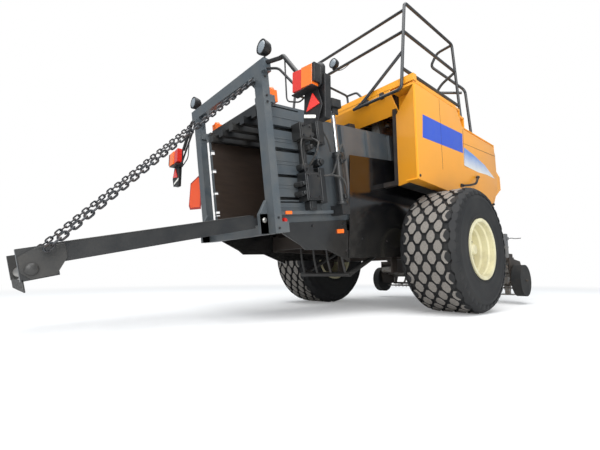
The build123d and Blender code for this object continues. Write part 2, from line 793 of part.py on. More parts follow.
def make_jack_outer():
    """The jack's outer tube on an arm off the tongue."""
    half = jack_outer_size / 2
    inner = jack_leg_size / 2 + seat_gap
    x, y = jack_x, jack_y
    top = 740 + jack_travel + 30
    tube = slab(x - half, x + half, y - half, y + half, 430, top)
    tube -= slab(x - inner, x + inner, y - inner, y + inner, 429, top - 10)
    arm = slab(x - half, x + half, y + half, -drawbar_half_width, 640, 780)
    return tube + arm


def make_jack_leg():
    half = jack_leg_size / 2
    foot = jack_foot_size / 2
    x, y = jack_x, jack_y
    leg = slab(x - half, x + half, y - half, y + half, jack_foot_thickness, 740)
    return leg + slab(x - foot, x + foot, y - foot, y + foot, 0, jack_foot_thickness)


def make_pto_shaft():
    """The drive shaft from the flywheel to the tongue."""
    x0 = flywheel_x + flywheel_width / 2
    shaft = Pos(x0 + 90, 0, flywheel_z) * Rot(Y=90) * Cylinder(drive_shaft_diameter / 2, 180)
    return shaft


def make_pickup_frame():
    """The pickup's end plates, cross tube, rear sheet and lifting arms."""
    x, z = pickup_axis_x, pickup_axis_z
    half = pickup_half_width
    outline = Polyline((x - 300, z - 140), (x + 100, z - 160), (x + 170, z), (x + 60, z + 170), (x - 330, z + 210),
                       (x - 330, z), close=True)
    plate = Pos(0, half, 0) * extrude(Plane.XZ * make_face(outline), amount=-pickup_plate)
    cross = along_y(x - 300, z + 180, 60, -half, half)
    px, pz = pickup_pivot_x, pickup_pivot_z
    arm = Polyline((px - 40, pz - 40), (px - 40, pz + 40), (px + 40, pz + 40), (x - 270, z + 215), (x - 270, z + 145),
                   (x - 330, z + 145), close=True)
    arm = Pos(0, pickup_arm_y, 0) * extrude(Plane.XZ * make_face(arm), amount=-pickup_plate)
    frame = plate + mirrored(plate) + cross + arm + mirrored(arm)
    axle = along_y(gauge_axle_x, gauge_axle_z, gauge_axle_diameter, half + 2, half + gauge_wheel_width + 50)
    frame += axle + mirrored(axle)
    frame -= along_y(px, pz, pickup_pin_diameter + 2 * running_gap, -half, half)
    frame -= along_y(auger_x, auger_z, reel_shaft_diameter + 2 * running_gap, -half - 20, half + 20)
    return frame - along_y(x, z, reel_shaft_diameter + 2 * running_gap, -half - 20, half + 20)


def make_pickup_reel():
    """The tined reel: a tube, its end spiders, four bars and their spring tines."""
    x, z = pickup_axis_x, pickup_axis_z
    half = pickup_half_width - moving_gap
    reel = along_y(0, 0, reel_tube_diameter, -half, half)
    reel += along_y(0, 0, reel_shaft_diameter, -pickup_half_width - pickup_plate, pickup_half_width + pickup_plate)
    for bar in range(tine_bar_count):
        turn = Rot(Y=bar * 360 / tine_bar_count)
        arm = along_y(0, tine_bar_radius, tine_bar_diameter, -half, half)
        for y in (-half + 10, 0, half - 10):
            arm += slab(-12, 12, y - 6, y + 6, 0, tine_bar_radius)
        for row in range(tine_count):
            y = -half + 70 + row * (2 * half - 140) / (tine_count - 1)
            arm += slab(-tine_size / 2, tine_size / 2, y - 35, y - 35 + tine_size, tine_bar_radius, tine_tip_radius)
            arm += slab(-tine_size / 2, tine_size / 2, y + 28, y + 28 + tine_size, tine_bar_radius, tine_tip_radius)
        reel += turn * arm
    return Pos(x, 0, z) * reel


def make_pickup_auger():
    """The auger behind the reel that gathers the crop to the duct."""
    half = pickup_half_width - moving_gap
    auger = along_y(auger_x, auger_z, auger_tube_diameter, -half, half)
    auger += along_y(auger_x, auger_z, reel_shaft_diameter, -half - 15, half + 15)
    return auger


def make_gauge_wheel():
    """The left gauge wheel of the pickup."""
    inner = pickup_half_width + pickup_plate + 20
    wheel = along_y(gauge_axle_x, gauge_axle_z, gauge_wheel_diameter, inner, inner + gauge_wheel_width)
    bore = gauge_axle_diameter + 2 * running_gap
    return wheel - along_y(gauge_axle_x, gauge_axle_z, bore, inner - 1, inner + gauge_wheel_width + 1)


def make_handrail_side():
    """The left handrail along the deck."""
    foot_z = roof_low_z + deck_thickness
    top = bent_tube(
        [(rail_rear_x, rail_y, foot_z), (rail_rear_x, rail_y, rail_top_z),
         (rail_front_x, rail_y, rail_top_z), (rail_front_x, rail_y, foot_z)],
        rail_tube, 60)
    for z in (rail_mid_z, rail_low_z):
        top += rod_between((rail_rear_x, rail_y, z), (rail_front_x, rail_y, z), rail_tube)
    return top


def make_handrail_rear():
    """The rear rails between the two corner posts."""
    reach = rail_y - rail_tube / 2
    rear = rod_between((rail_rear_x, -reach, rail_top_z - 60), (rail_rear_x, reach, rail_top_z - 60), rail_tube)
    low = rod_between((rail_rear_x, -reach, rail_mid_z), (rail_rear_x, reach, rail_mid_z), rail_tube)
    return group(rear, low)


def make_lamp_clusters():
    """The rear lamp clusters on their arms, with the reflector under each."""
    x, z = chamber_point(post_rear_u + post_depth / 2, beam_top_w - beam_height / 2)
    route = [(x, beam_half_length, z), (x, 900, 1800), (x, 1070, 1750)]
    arm = bent_tube(route, 40, 80)
    box = slab(x - 75, x - 15, 965, 1165, 1570, 1735)
    stalk = slab(x - 16, x + 16, 1000, 1040, 1600, 1780)
    plate = slab(x - 35, x - 25, 1040, 1200, 1350, 1571)
    arm -= slab(x - 200, x + 200, beam_half_length - 60, beam_half_length, z - 200, z + 200)
    return both_sides(arm + box + stalk + plate)


def make_work_lamps():
    """The two work lamps on the beam's ends."""
    x, z = chamber_point(post_rear_u + post_depth / 2, beam_top_w)
    lamp = Pos(x, 600, z + 95) * Rot(Y=90) * Cylinder(60, 70)
    seat = 8 * math.tan(math.radians(chamber_tilt)) + running_gap
    stem = Pos(x, 600, z + (seat + 50) / 2) * Cylinder(8, 50 - seat)
    return both_sides(lamp + stem)


parts = {}
tyre = make_tyre()
rim = make_rim()
wall = make_wall()
side_door = make_side_door()
shield = make_side_shield()
handrail = make_handrail_side()
parts["tyre_left"] = tyre
parts["tyre_right"] = mirrored(tyre)
parts["rim_left"] = rim
parts["rim_right"] = mirrored(rim)
parts["axle"] = make_axle()
parts["chassis_frame"] = make_chassis()
parts["chamber_wall_left"] = wall
parts["chamber_wall_right"] = mirrored(wall)
parts["chamber_floor"] = make_floor()
parts["rear_arch"] = make_rear_arch()
parts["density_door"] = make_density_door()
parts["chamber_top_deck"] = make_top_deck()
parts["cylinder_barrels"] = make_cylinder_barrels()
parts["cylinder_rods"] = make_cylinder_rods()
parts["chute_frame"] = make_chute()
parts["chute_roller"] = make_chute_roller()
parts["chain_upper"] = make_chain_upper()
parts["chain_lower"] = make_chain_lower()
parts["side_shield_left"] = shield
parts["side_shield_right"] = mirrored(shield)
parts["side_door_left"] = side_door
parts["side_door_right"] = mirrored(side_door)
parts["roof_deck"] = make_roof()
parts["front_hood"] = make_front_hood()
parts["shell_frame"] = make_shell_frame()
parts["twine_boxes"] = make_twine_boxes()
parts["knotters"] = make_knotters()
parts["needle_yoke"] = make_needle_yoke()
parts["feeder_duct"] = make_feeder()
parts["main_gearbox"] = make_gearbox()
parts["flywheel"] = make_flywheel()
parts["gearbox_frame"] = make_gear_frame()
parts["drawbar"] = make_drawbar()
parts["hitch_eye"] = make_hitch_eye()
parts["jack_outer"] = make_jack_outer()
parts["jack_leg"] = make_jack_leg()
parts["pto_shaft"] = make_pto_shaft()
parts["pickup_frame"] = make_pickup_frame()
parts["pickup_reel"] = make_pickup_reel()
parts["pickup_auger"] = make_pickup_auger()
parts["gauge_wheel_left"] = make_gauge_wheel()
parts["gauge_wheel_right"] = mirrored(parts["gauge_wheel_left"])
parts["handrail_left"] = handrail
parts["handrail_right"] = mirrored(handrail)
parts["handrail_rear"] = make_handrail_rear()
parts["lamp_clusters"] = make_lamp_clusters()
parts["work_lamps"] = make_work_lamps()

boxes = [shape.bounding_box() for shape in parts.values()]
rear_x = min(box.min.X for box in boxes)
front_x = max(box.max.X for box in boxes)
centre_x = (rear_x + front_x) / 2
print("the axle is at x =", round(-centre_x, 3))

os.makedirs("parts", exist_ok=True)
for name, shape in parts.items():
    export_step(Pos(-centre_x, 0, 0) * shape, f"parts/{name}.step")
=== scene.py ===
# %% [markdown]
# # A large square baler, dressed for its picture
# The solids come from the CAD model and already stand in the right place, at the right size.
# This lesson gives them their finishes and adds what a CAD model leaves out: tread, chain links,
# bolt heads, stripes, lenses and dirt. Units are metres. +X is the way the machine travels,
# +Y its left side, +Z up.

import math

import bmesh
import bpy
from mathutils import Matrix, Vector


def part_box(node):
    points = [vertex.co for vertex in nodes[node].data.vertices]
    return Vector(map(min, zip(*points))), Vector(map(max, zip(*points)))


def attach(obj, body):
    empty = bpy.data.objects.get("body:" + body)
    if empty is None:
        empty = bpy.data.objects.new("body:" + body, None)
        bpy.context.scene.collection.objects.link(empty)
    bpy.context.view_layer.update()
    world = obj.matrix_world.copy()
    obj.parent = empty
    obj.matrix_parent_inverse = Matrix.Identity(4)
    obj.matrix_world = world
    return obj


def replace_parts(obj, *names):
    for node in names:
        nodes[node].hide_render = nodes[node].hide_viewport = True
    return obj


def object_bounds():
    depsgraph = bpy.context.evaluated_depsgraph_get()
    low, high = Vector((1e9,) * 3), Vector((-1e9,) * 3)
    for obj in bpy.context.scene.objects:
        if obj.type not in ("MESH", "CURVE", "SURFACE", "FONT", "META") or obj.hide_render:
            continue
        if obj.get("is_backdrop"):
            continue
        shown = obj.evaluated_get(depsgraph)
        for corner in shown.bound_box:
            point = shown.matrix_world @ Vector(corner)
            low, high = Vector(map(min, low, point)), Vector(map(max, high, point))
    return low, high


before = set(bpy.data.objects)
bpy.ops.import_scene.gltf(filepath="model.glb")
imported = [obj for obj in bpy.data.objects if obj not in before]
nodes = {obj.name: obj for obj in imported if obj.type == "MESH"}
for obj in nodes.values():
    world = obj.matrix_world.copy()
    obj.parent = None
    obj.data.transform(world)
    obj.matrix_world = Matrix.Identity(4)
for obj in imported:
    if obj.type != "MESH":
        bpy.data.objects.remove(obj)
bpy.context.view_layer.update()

# %% [markdown]
# ## Where things are
# The wheel axle is a good place to measure from, so lengths along the machine start there.
# The bale chamber climbs towards the front and the chute slopes down behind it. Two helpers turn
# a place along and above each of them into a place on the machine.

# %% Where things are
AXLE_X = (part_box("axle")[0][0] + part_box("axle")[1][0]) / 2
CHAMBER_TILT = math.radians(7.5)
CHAMBER_REAR = (-1.955, 0.788)
CHUTE_SLOPE = math.radians(13.0)
CHUTE_HINGE = (-2.069, 0.784)
WHEEL_Y, WHEEL_RADIUS = 0.9875, 0.6225


def at(x, y, z):
    """A place given from the axle, in the scene's own coordinates."""
    return Vector((AXLE_X + x, y, z))


def on_chamber(u, y, w):
    """A place u ahead of the chamber's rear edge and w above its floor."""
    x = CHAMBER_REAR[0] + u * math.cos(CHAMBER_TILT) - w * math.sin(CHAMBER_TILT)
    z = CHAMBER_REAR[1] + u * math.sin(CHAMBER_TILT) + w * math.cos(CHAMBER_TILT)
    return at(x, y, z)


def on_chute(back, y, up):
    """A place back along the chute from its hinge and up off it."""
    x = CHUTE_HINGE[0] - back * math.cos(CHUTE_SLOPE) - up * math.sin(CHUTE_SLOPE)
    z = CHUTE_HINGE[1] - back * math.sin(CHUTE_SLOPE) + up * math.cos(CHUTE_SLOPE)
    return at(x, y, z)


print("axle at x", round(AXLE_X, 4))

# %% [markdown]
# ## Camera
# The picture was taken from near the ground with a wide lens, behind the machine's right rear corner.
# The camera stands at the same place and looks slightly up, so the rails tower over the wheels.

# %% Camera
CAMERA_PLACE = at(-3.631, -2.696, 0.374)
CAMERA_YAW = math.radians(48.75)
CAMERA_PITCH = math.radians(7.94)
LENS_MM, SENSOR_MM, FAR_CLIP = 21.375, 36.0, 300.0

level = math.cos(CAMERA_PITCH)
ahead = Vector((level * math.cos(CAMERA_YAW), level * math.sin(CAMERA_YAW), math.sin(CAMERA_PITCH)))
camera_data = bpy.data.cameras.new("camera")
camera_data.lens = LENS_MM
camera_data.sensor_width = SENSOR_MM
camera_data.sensor_fit = "HORIZONTAL"
camera_data.clip_end = FAR_CLIP
camera = bpy.data.objects.new("camera", camera_data)
camera.location = CAMERA_PLACE
camera.rotation_euler = ahead.to_track_quat("-Z", "Y").to_euler()
bpy.context.scene.collection.objects.link(camera)
bpy.context.scene.camera = camera
print("camera at", [round(v, 3) for v in camera.location])

# %% [markdown]
# ## Helpers for finishes
# A finish is a small net of shader nodes. One function turns the written colours, which are sRGB,
# into the linear values that Blender computes with, and one adds a node with its settings and links.

# %% Helpers for finishes


def rgb(code):
    """A colour written as a hex code, as linear RGBA."""
    values = [int(code[i : i + 2], 16) / 255 for i in (0, 2, 4)]
    linear = [v / 12.92 if v <= 0.04045 else ((v + 0.055) / 1.055) ** 2.4 for v in values]
    return (*linear, 1.0)


def add(tree, kind, settings=(), inputs=()):
    """Adds a node, sets its properties and fills its sockets with values or links."""
    node = tree.nodes.new(kind)
    for name, value in dict(settings).items():
        setattr(node, name, value)
    for name, value in dict(inputs).items():
        if isinstance(value, bpy.types.NodeSocket):
            tree.links.new(value, node.inputs[name])
        else:
            node.inputs[name].default_value = value
    return node


def new_finish(name):
    """A material with its shader and its output, and the object's own coordinates."""
    material = bpy.data.materials.new(name)
    material.use_nodes = True
    tree = material.node_tree
    tree.nodes.clear()
    shader = add(tree, "ShaderNodeBsdfPrincipled")
    add(tree, "ShaderNodeOutputMaterial", (), {"Surface": shader.outputs["BSDF"]})
    place = add(tree, "ShaderNodeTexCoord").outputs["Object"]
    finishes[name] = material
    return tree, shader, place


def blotches(tree, place, size_mm, detail, sparse, dense, most):
    """Soft patches of a real size, from none at the sparse level to the most at the dense one."""
    noise = add(tree, "ShaderNodeTexNoise", (), {"Vector": place, "Scale": 1000 / size_mm, "Detail": detail})
    span = {"Value": noise.outputs["Fac"], "From Min": sparse, "From Max": dense, "To Max": most}
    return add(tree, "ShaderNodeMapRange", (), span).outputs[0]


# A mix node that blends colours
COLOURS = {"data_type": "RGBA"}
finishes = {}
print("finish helpers ready")

# %% [markdown]
# ## Paints
# The machine is sprayed steel. The posts and walls are satin black, and their slate grey colour is a painted
# reflection of the overcast sky; the mechanisms are a deeper black, and the doors and the roof are yellow.
# Paint is a smooth coat with a thin gloss over it. Chaff dust settles in blotches and lies thicker near the
# ground, so it is laid over the paint by a coarse noise, a fine one and the height.

# %% Paints
# How large the specks of dust and the dimples of the orange peel are drawn
SPECK_MM, PEEL_MM = 7, 14
# Dust thickens from the first height down to the second
DUST_START_Z, DUST_FULL_Z = 1.1, 0.2


def paint(name, colour, dust, roughness, coat, dust_amount=0.35, low_dust=0.25, patch_mm=160):
    """Sprayed paint with blotches of dust that thicken below about a metre."""
    tree, shader, place = new_finish(name)
    patches = blotches(tree, place, patch_mm, 4.0, 0.4, 0.75, dust_amount)
    specks = blotches(tree, place, SPECK_MM, 2.0, 0.45, 0.7, dust_amount * 0.4)
    height = add(tree, "ShaderNodeSeparateXYZ", (), {"Vector": place}).outputs["Z"]
    low = add(tree, "ShaderNodeMapRange", (), {"Value": height, "From Min": DUST_START_Z,
                                               "From Max": DUST_FULL_Z, "To Max": low_dust})
    thin = add(tree, "ShaderNodeMath", {"operation": "ADD"}, {0: patches, 1: specks})
    dusty = add(tree, "ShaderNodeMath", {"operation": "ADD", "use_clamp": True},
                {0: thin.outputs[0], 1: low.outputs[0]})
    base = add(tree, "ShaderNodeMix", COLOURS, {0: dusty.outputs[0], 6: rgb(colour), 7: rgb(dust)})
    tree.links.new(base.outputs[2], shader.inputs["Base Color"])
    dull = add(tree, "ShaderNodeMapRange", (), {"Value": dusty.outputs[0], "To Min": roughness,
                                                "To Max": 0.85})
    tree.links.new(dull.outputs[0], shader.inputs["Roughness"])
    shader.inputs["Coat Weight"].default_value = coat
    shader.inputs["Coat Roughness"].default_value = 0.14
    # Orange peel breaks up the reflections. The real one is finer, and is drawn coarse enough to show
    peel = add(tree, "ShaderNodeTexNoise", (), {"Vector": place, "Scale": 1000 / PEEL_MM})
    bump = add(tree, "ShaderNodeBump", (), {"Height": peel.outputs["Fac"], "Strength": 0.12,
                                            "Distance": 0.001})
    tree.links.new(bump.outputs["Normal"], shader.inputs["Normal"])
    return tree, shader, place, base


# Satin black, coloured slate grey: the grey is a painted reflection of the overcast sky
paint("satin black machine paint with painted sky sheen", "454d53", "77736b", 0.36, 0.35, dust_amount=0.25)
paint("black mechanism paint", "15181b", "4f4b45", 0.4, 0.25, dust_amount=0.3)
paint("satin black rail paint", "1e2125", "6b675f", 0.4, 0.25, dust_amount=0.15)
paint("gloss black sheet paint", "0b0c0f", "55524c", 0.1, 0.7, dust_amount=0.1, low_dust=0.2)
paint("dark chassis paint", "1d1817", "5f5347", 0.55, 0.0, dust_amount=0.25, low_dust=0.25)
paint("yellow panel paint", "f0a023", "c8964a", 0.3, 0.35, dust_amount=0.14, patch_mm=260)
paint("cream wheel paint", "e9e3bd", "8f8362", 0.42, 0.15, dust_amount=0.35, low_dust=0.3)
paint("red gearbox paint", "6d1f1a", "6a5b4b", 0.55, 0.0, dust_amount=0.5)
paint("grey machine paint", "6d6f72", "857c6c", 0.5, 0.1)
print(len(finishes), "paints")

# %% [markdown]
# ## The chamber's inside
# Bales rub the paint off the inner faces of the chamber, and the bare steel turns a dusty brown.
# The wall is one solid, so one finish shows paint outside, slate grey with the sky's reflection painted in,
# and brown steel where y lies within the chamber's half width. The chute is rubbed too, but stays nearly
# black.

# %% The chamber's inside
CHAMBER_HALF_WIDTH, RUB_MARGIN = 0.41, 0.002
STREAK_STRETCH, STREAKS_PER_METRE = (1.2, 1.0, 9.0), 6.0


def rubbed_paint(name, outside, inside, streak, dust_amount, low_dust):
    """Paint whose faces towards the chamber are rubbed down to streaky steel."""
    tree, shader, place, base = paint(name, outside, "6b675f", 0.36, 0.35, dust_amount, low_dust)
    across = add(tree, "ShaderNodeSeparateXYZ", (), {"Vector": place}).outputs["Y"]
    side = add(tree, "ShaderNodeMath", {"operation": "ABSOLUTE"}, {0: across})
    rubbed = add(tree, "ShaderNodeMath", {"operation": "LESS_THAN"},
                 {0: side.outputs[0], 1: CHAMBER_HALF_WIDTH + RUB_MARGIN})
    stretch = add(tree, "ShaderNodeMapping", (), {"Vector": place, "Scale": STREAK_STRETCH})
    grain = add(tree, "ShaderNodeTexNoise", (), {"Vector": stretch.outputs[0], "Scale": STREAKS_PER_METRE,
                                                 "Detail": 6.0})
    worn = add(tree, "ShaderNodeMix", COLOURS, {0: grain.outputs["Fac"], 6: rgb(inside), 7: rgb(streak)})
    skin = add(tree, "ShaderNodeMix", COLOURS, {0: rubbed.outputs[0], 6: base.outputs[2], 7: worn.outputs[2]})
    tree.links.new(skin.outputs[2], shader.inputs["Base Color"])


# Outside, the same slate grey, a painted sky reflection over satin black; inside, rubbed steel
rubbed_paint("rubbed chamber paint with painted sky sheen", "454d53", "43372f", "2b2420", 0.3, 0.25)
rubbed_paint("rubbed slide paint", "0e1115", "242220", "161514", 0.1, 0.06)
print(len(finishes), "finishes with the rubbed ones")

# %% [markdown]
# ## Metals, rubber and plastics
# Bare steel is metallic, rough and spotted with rust, which is dull. Chrome is nearly a mirror. Rubber
# and moulded plastic have a dusty bloom and a fine grain, which takes the shine off them.

# %% Metals, rubber and plastics


def worn_metal(name, colour, rust, roughness, rust_amount, patch_mm=40):
    """Bare steel with patches of rust, which are dull and not metallic."""
    tree, shader, place = new_finish(name)
    stain = blotches(tree, place, patch_mm, 5.0, 0.45, 0.7, rust_amount)
    base = add(tree, "ShaderNodeMix", COLOURS, {0: stain, 6: rgb(colour), 7: rgb(rust)})
    tree.links.new(base.outputs[2], shader.inputs["Base Color"])
    metal = add(tree, "ShaderNodeMapRange", (), {"Value": stain, "To Min": 1.0, "To Max": 0.1})
    tree.links.new(metal.outputs[0], shader.inputs["Metallic"])
    shader.inputs["Roughness"].default_value = roughness


def dull_solid(name, colour, dust, roughness, amount=0.4, patch_mm=60, grit_mm=3.0):
    """Rubber or plastic with a dusty bloom and a fine grain."""
    tree, shader, place = new_finish(name)
    bloom = blotches(tree, place, patch_mm, 4.0, 0.4, 0.75, amount)
    base = add(tree, "ShaderNodeMix", COLOURS, {0: bloom, 6: rgb(colour), 7: rgb(dust)})
    tree.links.new(base.outputs[2], shader.inputs["Base Color"])
    shader.inputs["Roughness"].default_value = roughness
    grit = add(tree, "ShaderNodeTexNoise", (), {"Vector": place, "Scale": 1000 / grit_mm})
    bump = add(tree, "ShaderNodeBump", (), {"Height": grit.outputs["Fac"], "Strength": 0.2,
                                            "Distance": 0.001})
    tree.links.new(bump.outputs["Normal"], shader.inputs["Normal"])


worn_metal("worn steel", "8a8782", "5d4636", 0.42, 0.7)
worn_metal("dark chain steel", "4a4c4f", "4b3a30", 0.5, 0.6, patch_mm=25)
worn_metal("chromed rod", "d9dadb", "9a938a", 0.12, 0.1)
worn_metal("zinc plated bolt", "9c9c98", "6b5744", 0.35, 0.5, patch_mm=15)
dull_solid("gauge wheel rubber", "151617", "4c4943", 0.8, amount=0.35, patch_mm=220)
dull_solid("grey moulded plastic", "2c2d2f", "6d675d", 0.6)
dull_solid("black lamp plastic", "141416", "4d4a45", 0.45, amount=0.2)
dull_solid("orange board plastic", "f2531c", "e8673a", 0.45, amount=0.3, patch_mm=90)
dull_solid("dark red border tape", "a3271c", "7d2a20", 0.4, amount=0.3)
dull_solid("red reflector plastic", "c9241c", "8a2018", 0.25, amount=0.2)
dull_solid("blue stripe film", "2c50bd", "4a66b4", 0.3, amount=0.3, patch_mm=120)
print(len(finishes), "finishes")

# %% [markdown]
# ## Tyre rubber
# The sidewalls are clean and nearly black. Only what the road touches is scuffed to a light, stony
# grey, so the finish changes with the distance from the axle, just below the tread's full radius.

# %% Tyre rubber
SCUFF_DEPTH, SCUFF_FADE = 0.0036, 0.0008
SCUFF_GRAIN_MM, SIDE_BLOOM_MM = 12, 260
scuffed_from = WHEEL_RADIUS - SCUFF_DEPTH

tree, shader, place = new_finish("tyre rubber")
hub = add(tree, "ShaderNodeVectorMath", {"operation": "SUBTRACT"}, {0: place, 1: at(0, 0, WHEEL_RADIUS)})
flat = add(tree, "ShaderNodeVectorMath", {"operation": "MULTIPLY"}, {0: hub.outputs[0], 1: (1, 0, 1)})
reach = add(tree, "ShaderNodeVectorMath", {"operation": "LENGTH"}, {0: flat.outputs[0]})
worn = add(tree, "ShaderNodeMapRange", (), {"Value": reach.outputs["Value"], "From Max": scuffed_from,
                                            "From Min": scuffed_from - SCUFF_FADE})
grain = add(tree, "ShaderNodeTexNoise", (), {"Vector": place, "Scale": 1000 / SCUFF_GRAIN_MM, "Detail": 5.0})
stone = add(tree, "ShaderNodeMix", COLOURS, {0: grain.outputs["Fac"], 6: rgb("5c5853"), 7: rgb("97918a")})
bloom = blotches(tree, place, SIDE_BLOOM_MM, 3.0, 0.4, 0.8, 0.35)
side = add(tree, "ShaderNodeMix", COLOURS, {0: bloom, 6: rgb("121315"), 7: rgb("3a3936")})
skin = add(tree, "ShaderNodeMix", COLOURS, {0: worn.outputs[0], 6: side.outputs[2], 7: stone.outputs[2]})
tree.links.new(skin.outputs[2], shader.inputs["Base Color"])
shader.inputs["Roughness"].default_value = 0.7
print("tyres are scuffed from a radius of", round(scuffed_from, 4))

# %% [markdown]
# ## Lenses
# The rear lamp clusters are moulded in one block, red near the machine and amber outside, with a red triangle
# and a white strip below. They are one piece, so one finish picks the colour from the place across and above
# the floor. Lenses are clear coloured plastic over a bright back, and the light coming back off that back is
# a faint painted glow in the lens colour, without a lamp. The marker lamps and the work lamps' glasses have
# one colour all over.

# %% Lenses
# Where one colour gives way to the next, across the machine and up from the floor
LENS_SPLIT_Y = 1.06
REFLECTOR_TOP_Z = 1.56
STRIP_TOP_Z = 1.426
# Moulded prisms, this far apart
PRISM_MM = 8


def lens_finish_with_painted_glow(name, inner, outer, triangle, strip):
    """Coloured plastic that changes colour by place, with a moulded prism pattern and a faint painted glow.
    """
    tree, shader, place = new_finish(name)
    axes = add(tree, "ShaderNodeSeparateXYZ", (), {"Vector": place})
    side = add(tree, "ShaderNodeMath", {"operation": "ABSOLUTE"}, {0: axes.outputs["Y"]})
    is_outer = add(tree, "ShaderNodeMath", {"operation": "GREATER_THAN"},
                   {0: side.outputs[0], 1: LENS_SPLIT_Y})
    is_low = add(tree, "ShaderNodeMath", {"operation": "LESS_THAN"},
                 {0: axes.outputs["Z"], 1: REFLECTOR_TOP_Z})
    is_strip = add(tree, "ShaderNodeMath", {"operation": "LESS_THAN"}, {0: axes.outputs["Z"], 1: STRIP_TOP_Z})
    pair = add(tree, "ShaderNodeMix", COLOURS, {0: is_outer.outputs[0], 6: rgb(inner), 7: rgb(outer)})
    three = add(tree, "ShaderNodeMix", COLOURS, {0: is_low.outputs[0], 6: pair.outputs[2], 7: rgb(triangle)})
    four = add(tree, "ShaderNodeMix", COLOURS, {0: is_strip.outputs[0], 6: three.outputs[2], 7: rgb(strip)})
    tree.links.new(four.outputs[2], shader.inputs["Base Color"])
    # A faint painted glow in the lens colour, standing in for daylight coming back off the bright back,
    # though no lamp is lit
    tree.links.new(four.outputs[2], shader.inputs["Emission Color"])
    shader.inputs["Emission Strength"].default_value = 0.12
    shader.inputs["Roughness"].default_value = 0.22
    shader.inputs["Coat Weight"].default_value = 0.6
    prism = add(tree, "ShaderNodeTexVoronoi", (), {"Vector": place, "Scale": 1000 / PRISM_MM})
    bump = add(tree, "ShaderNodeBump", (), {"Height": prism.outputs["Distance"], "Strength": 0.35,
                                            "Distance": 0.002})
    tree.links.new(bump.outputs["Normal"], shader.inputs["Normal"])


lens_finish_with_painted_glow("two colour lamp lens", "c8261b", "f4701d", "e0332a", "e9e7df")
lens_finish_with_painted_glow("amber lamp lens", "f4701d", "f4701d", "f4701d", "f4701d")
lens_finish_with_painted_glow("clear lamp glass", "7c848a", "7c848a", "7c848a", "7c848a")
print(len(finishes), "finishes with lenses")

# %% [markdown]
# ## Which finish each CAD piece gets
# Each CAD node keeps its own mesh. Its slot gets one of the finishes above, and what isn't listed
# is painted like the posts.

# %% Assign the finishes
by_finish = {
    "rubbed chamber paint with painted sky sheen": ["chamber_wall_left", "chamber_wall_right", "chamber_floor"],
    "black mechanism paint": ["density_door", "cylinder_barrels", "chamber_top_deck", "needle_yoke"],
    "rubbed slide paint": ["chute_frame"],
    "satin black rail paint": ["handrail_left", "handrail_right", "handrail_rear", "lamp_clusters"],
    "gauge wheel rubber": ["gauge_wheel_left", "gauge_wheel_right"],
    "tyre rubber": ["tyre_left", "tyre_right"],
    "cream wheel paint": ["rim_left", "rim_right"],
    "dark chassis paint": ["axle", "chassis_frame", "drawbar", "hitch_eye", "pickup_frame",
                           "feeder_duct", "shell_frame", "gearbox_frame"],
    "yellow panel paint": ["side_door_left", "side_door_right", "roof_deck", "front_hood"],
    "gloss black sheet paint": ["side_shield_left", "side_shield_right"],
    "worn steel": ["chute_roller", "flywheel", "pickup_auger", "pickup_reel", "jack_leg", "knotters",
                   "pto_shaft"],
    "dark chain steel": ["chain_upper", "chain_lower"],
    "chromed rod": ["cylinder_rods"],
    "red gearbox paint": ["main_gearbox"],
    "black lamp plastic": ["work_lamps"],
    "grey moulded plastic": ["twine_boxes"],
    "grey machine paint": ["jack_outer"],
}
finish_of = {node: name for name, group in by_finish.items() for node in group}
for node, piece in nodes.items():
    piece.data.materials.clear()
    piece.data.materials.append(finishes[finish_of.get(node, "satin black machine paint with painted sky sheen")])
print("finished", len(nodes), "nodes")

# %% [markdown]
# ## Helpers for shapes
# New pieces are plain meshes that stand in the scene's own coordinates, so they need no moving.
# A lathe turns a profile of radius and height round an axis, which gives bolts, lenses and knobs.
# A prism lifts a flat outline off a surface, which gives plates and stripes. A pipe follows points
# with rounded corners.

# %% Helpers for shapes


def to_mesh(name, shape):
    """Turns a bmesh into a mesh whose faces point outwards."""
    bmesh.ops.remove_doubles(shape, verts=shape.verts, dist=0.00002)
    bmesh.ops.recalc_face_normals(shape, faces=shape.faces)
    mesh = bpy.data.meshes.new(name)
    shape.to_mesh(mesh)
    shape.free()
    return mesh


def lathe(shape, profile, foot, axis, steps=24, closed=False):
    """Turns (radius, height) pairs round an axis that starts at foot. A closed profile makes a ring."""
    turn = Vector(axis).normalized().to_track_quat("Z", "Y").to_matrix().to_4x4()
    frame_of = Matrix.Translation(foot) @ turn
    rings = []
    for radius, height in profile:
        angles = [2 * math.pi * step / steps for step in range(steps)] if radius else [0.0]
        rings.append([shape.verts.new(frame_of @ Vector((radius * math.cos(a), radius * math.sin(a), height)))
                      for a in angles])
    for low, high in zip(rings, [*rings[1:], rings[0]] if closed else rings[1:]):
        for step in range(steps):
            after = (step + 1) % steps
            if len(low) == 1:
                shape.faces.new((low[0], high[step], high[after]))
            elif len(high) == 1:
                shape.faces.new((low[step], low[after], high[0]))
            else:
                shape.faces.new((low[step], low[after], high[after], high[step]))


def prism(shape, outline, lift):
    """A flat outline in space, lifted along a vector into a closed plate."""
    low = [shape.verts.new(point) for point in outline]
    high = [shape.verts.new(Vector(point) + Vector(lift)) for point in outline]
    shape.faces.new(low)
    shape.faces.new(high)
    for step in range(len(low)):
        after = (step + 1) % len(low)
        shape.faces.new((low[step], low[after], high[after], high[step]))


def rounded(points, radius, steps=5):
    """The points with each inner corner replaced by a short curve."""
    points = [Vector(point) for point in points]
    line = [points[0]]
    for before, corner, after in zip(points, points[1:], points[2:]):
        reach = min(radius, (corner - before).length * 0.45, (after - corner).length * 0.45)
        start = corner + (before - corner).normalized() * reach
        end = corner + (after - corner).normalized() * reach
        for step in range(steps + 1):
            t = step / steps
            line.append((1 - t) ** 2 * start + 2 * t * (1 - t) * corner + t**2 * end)
    return [*line, points[-1]]


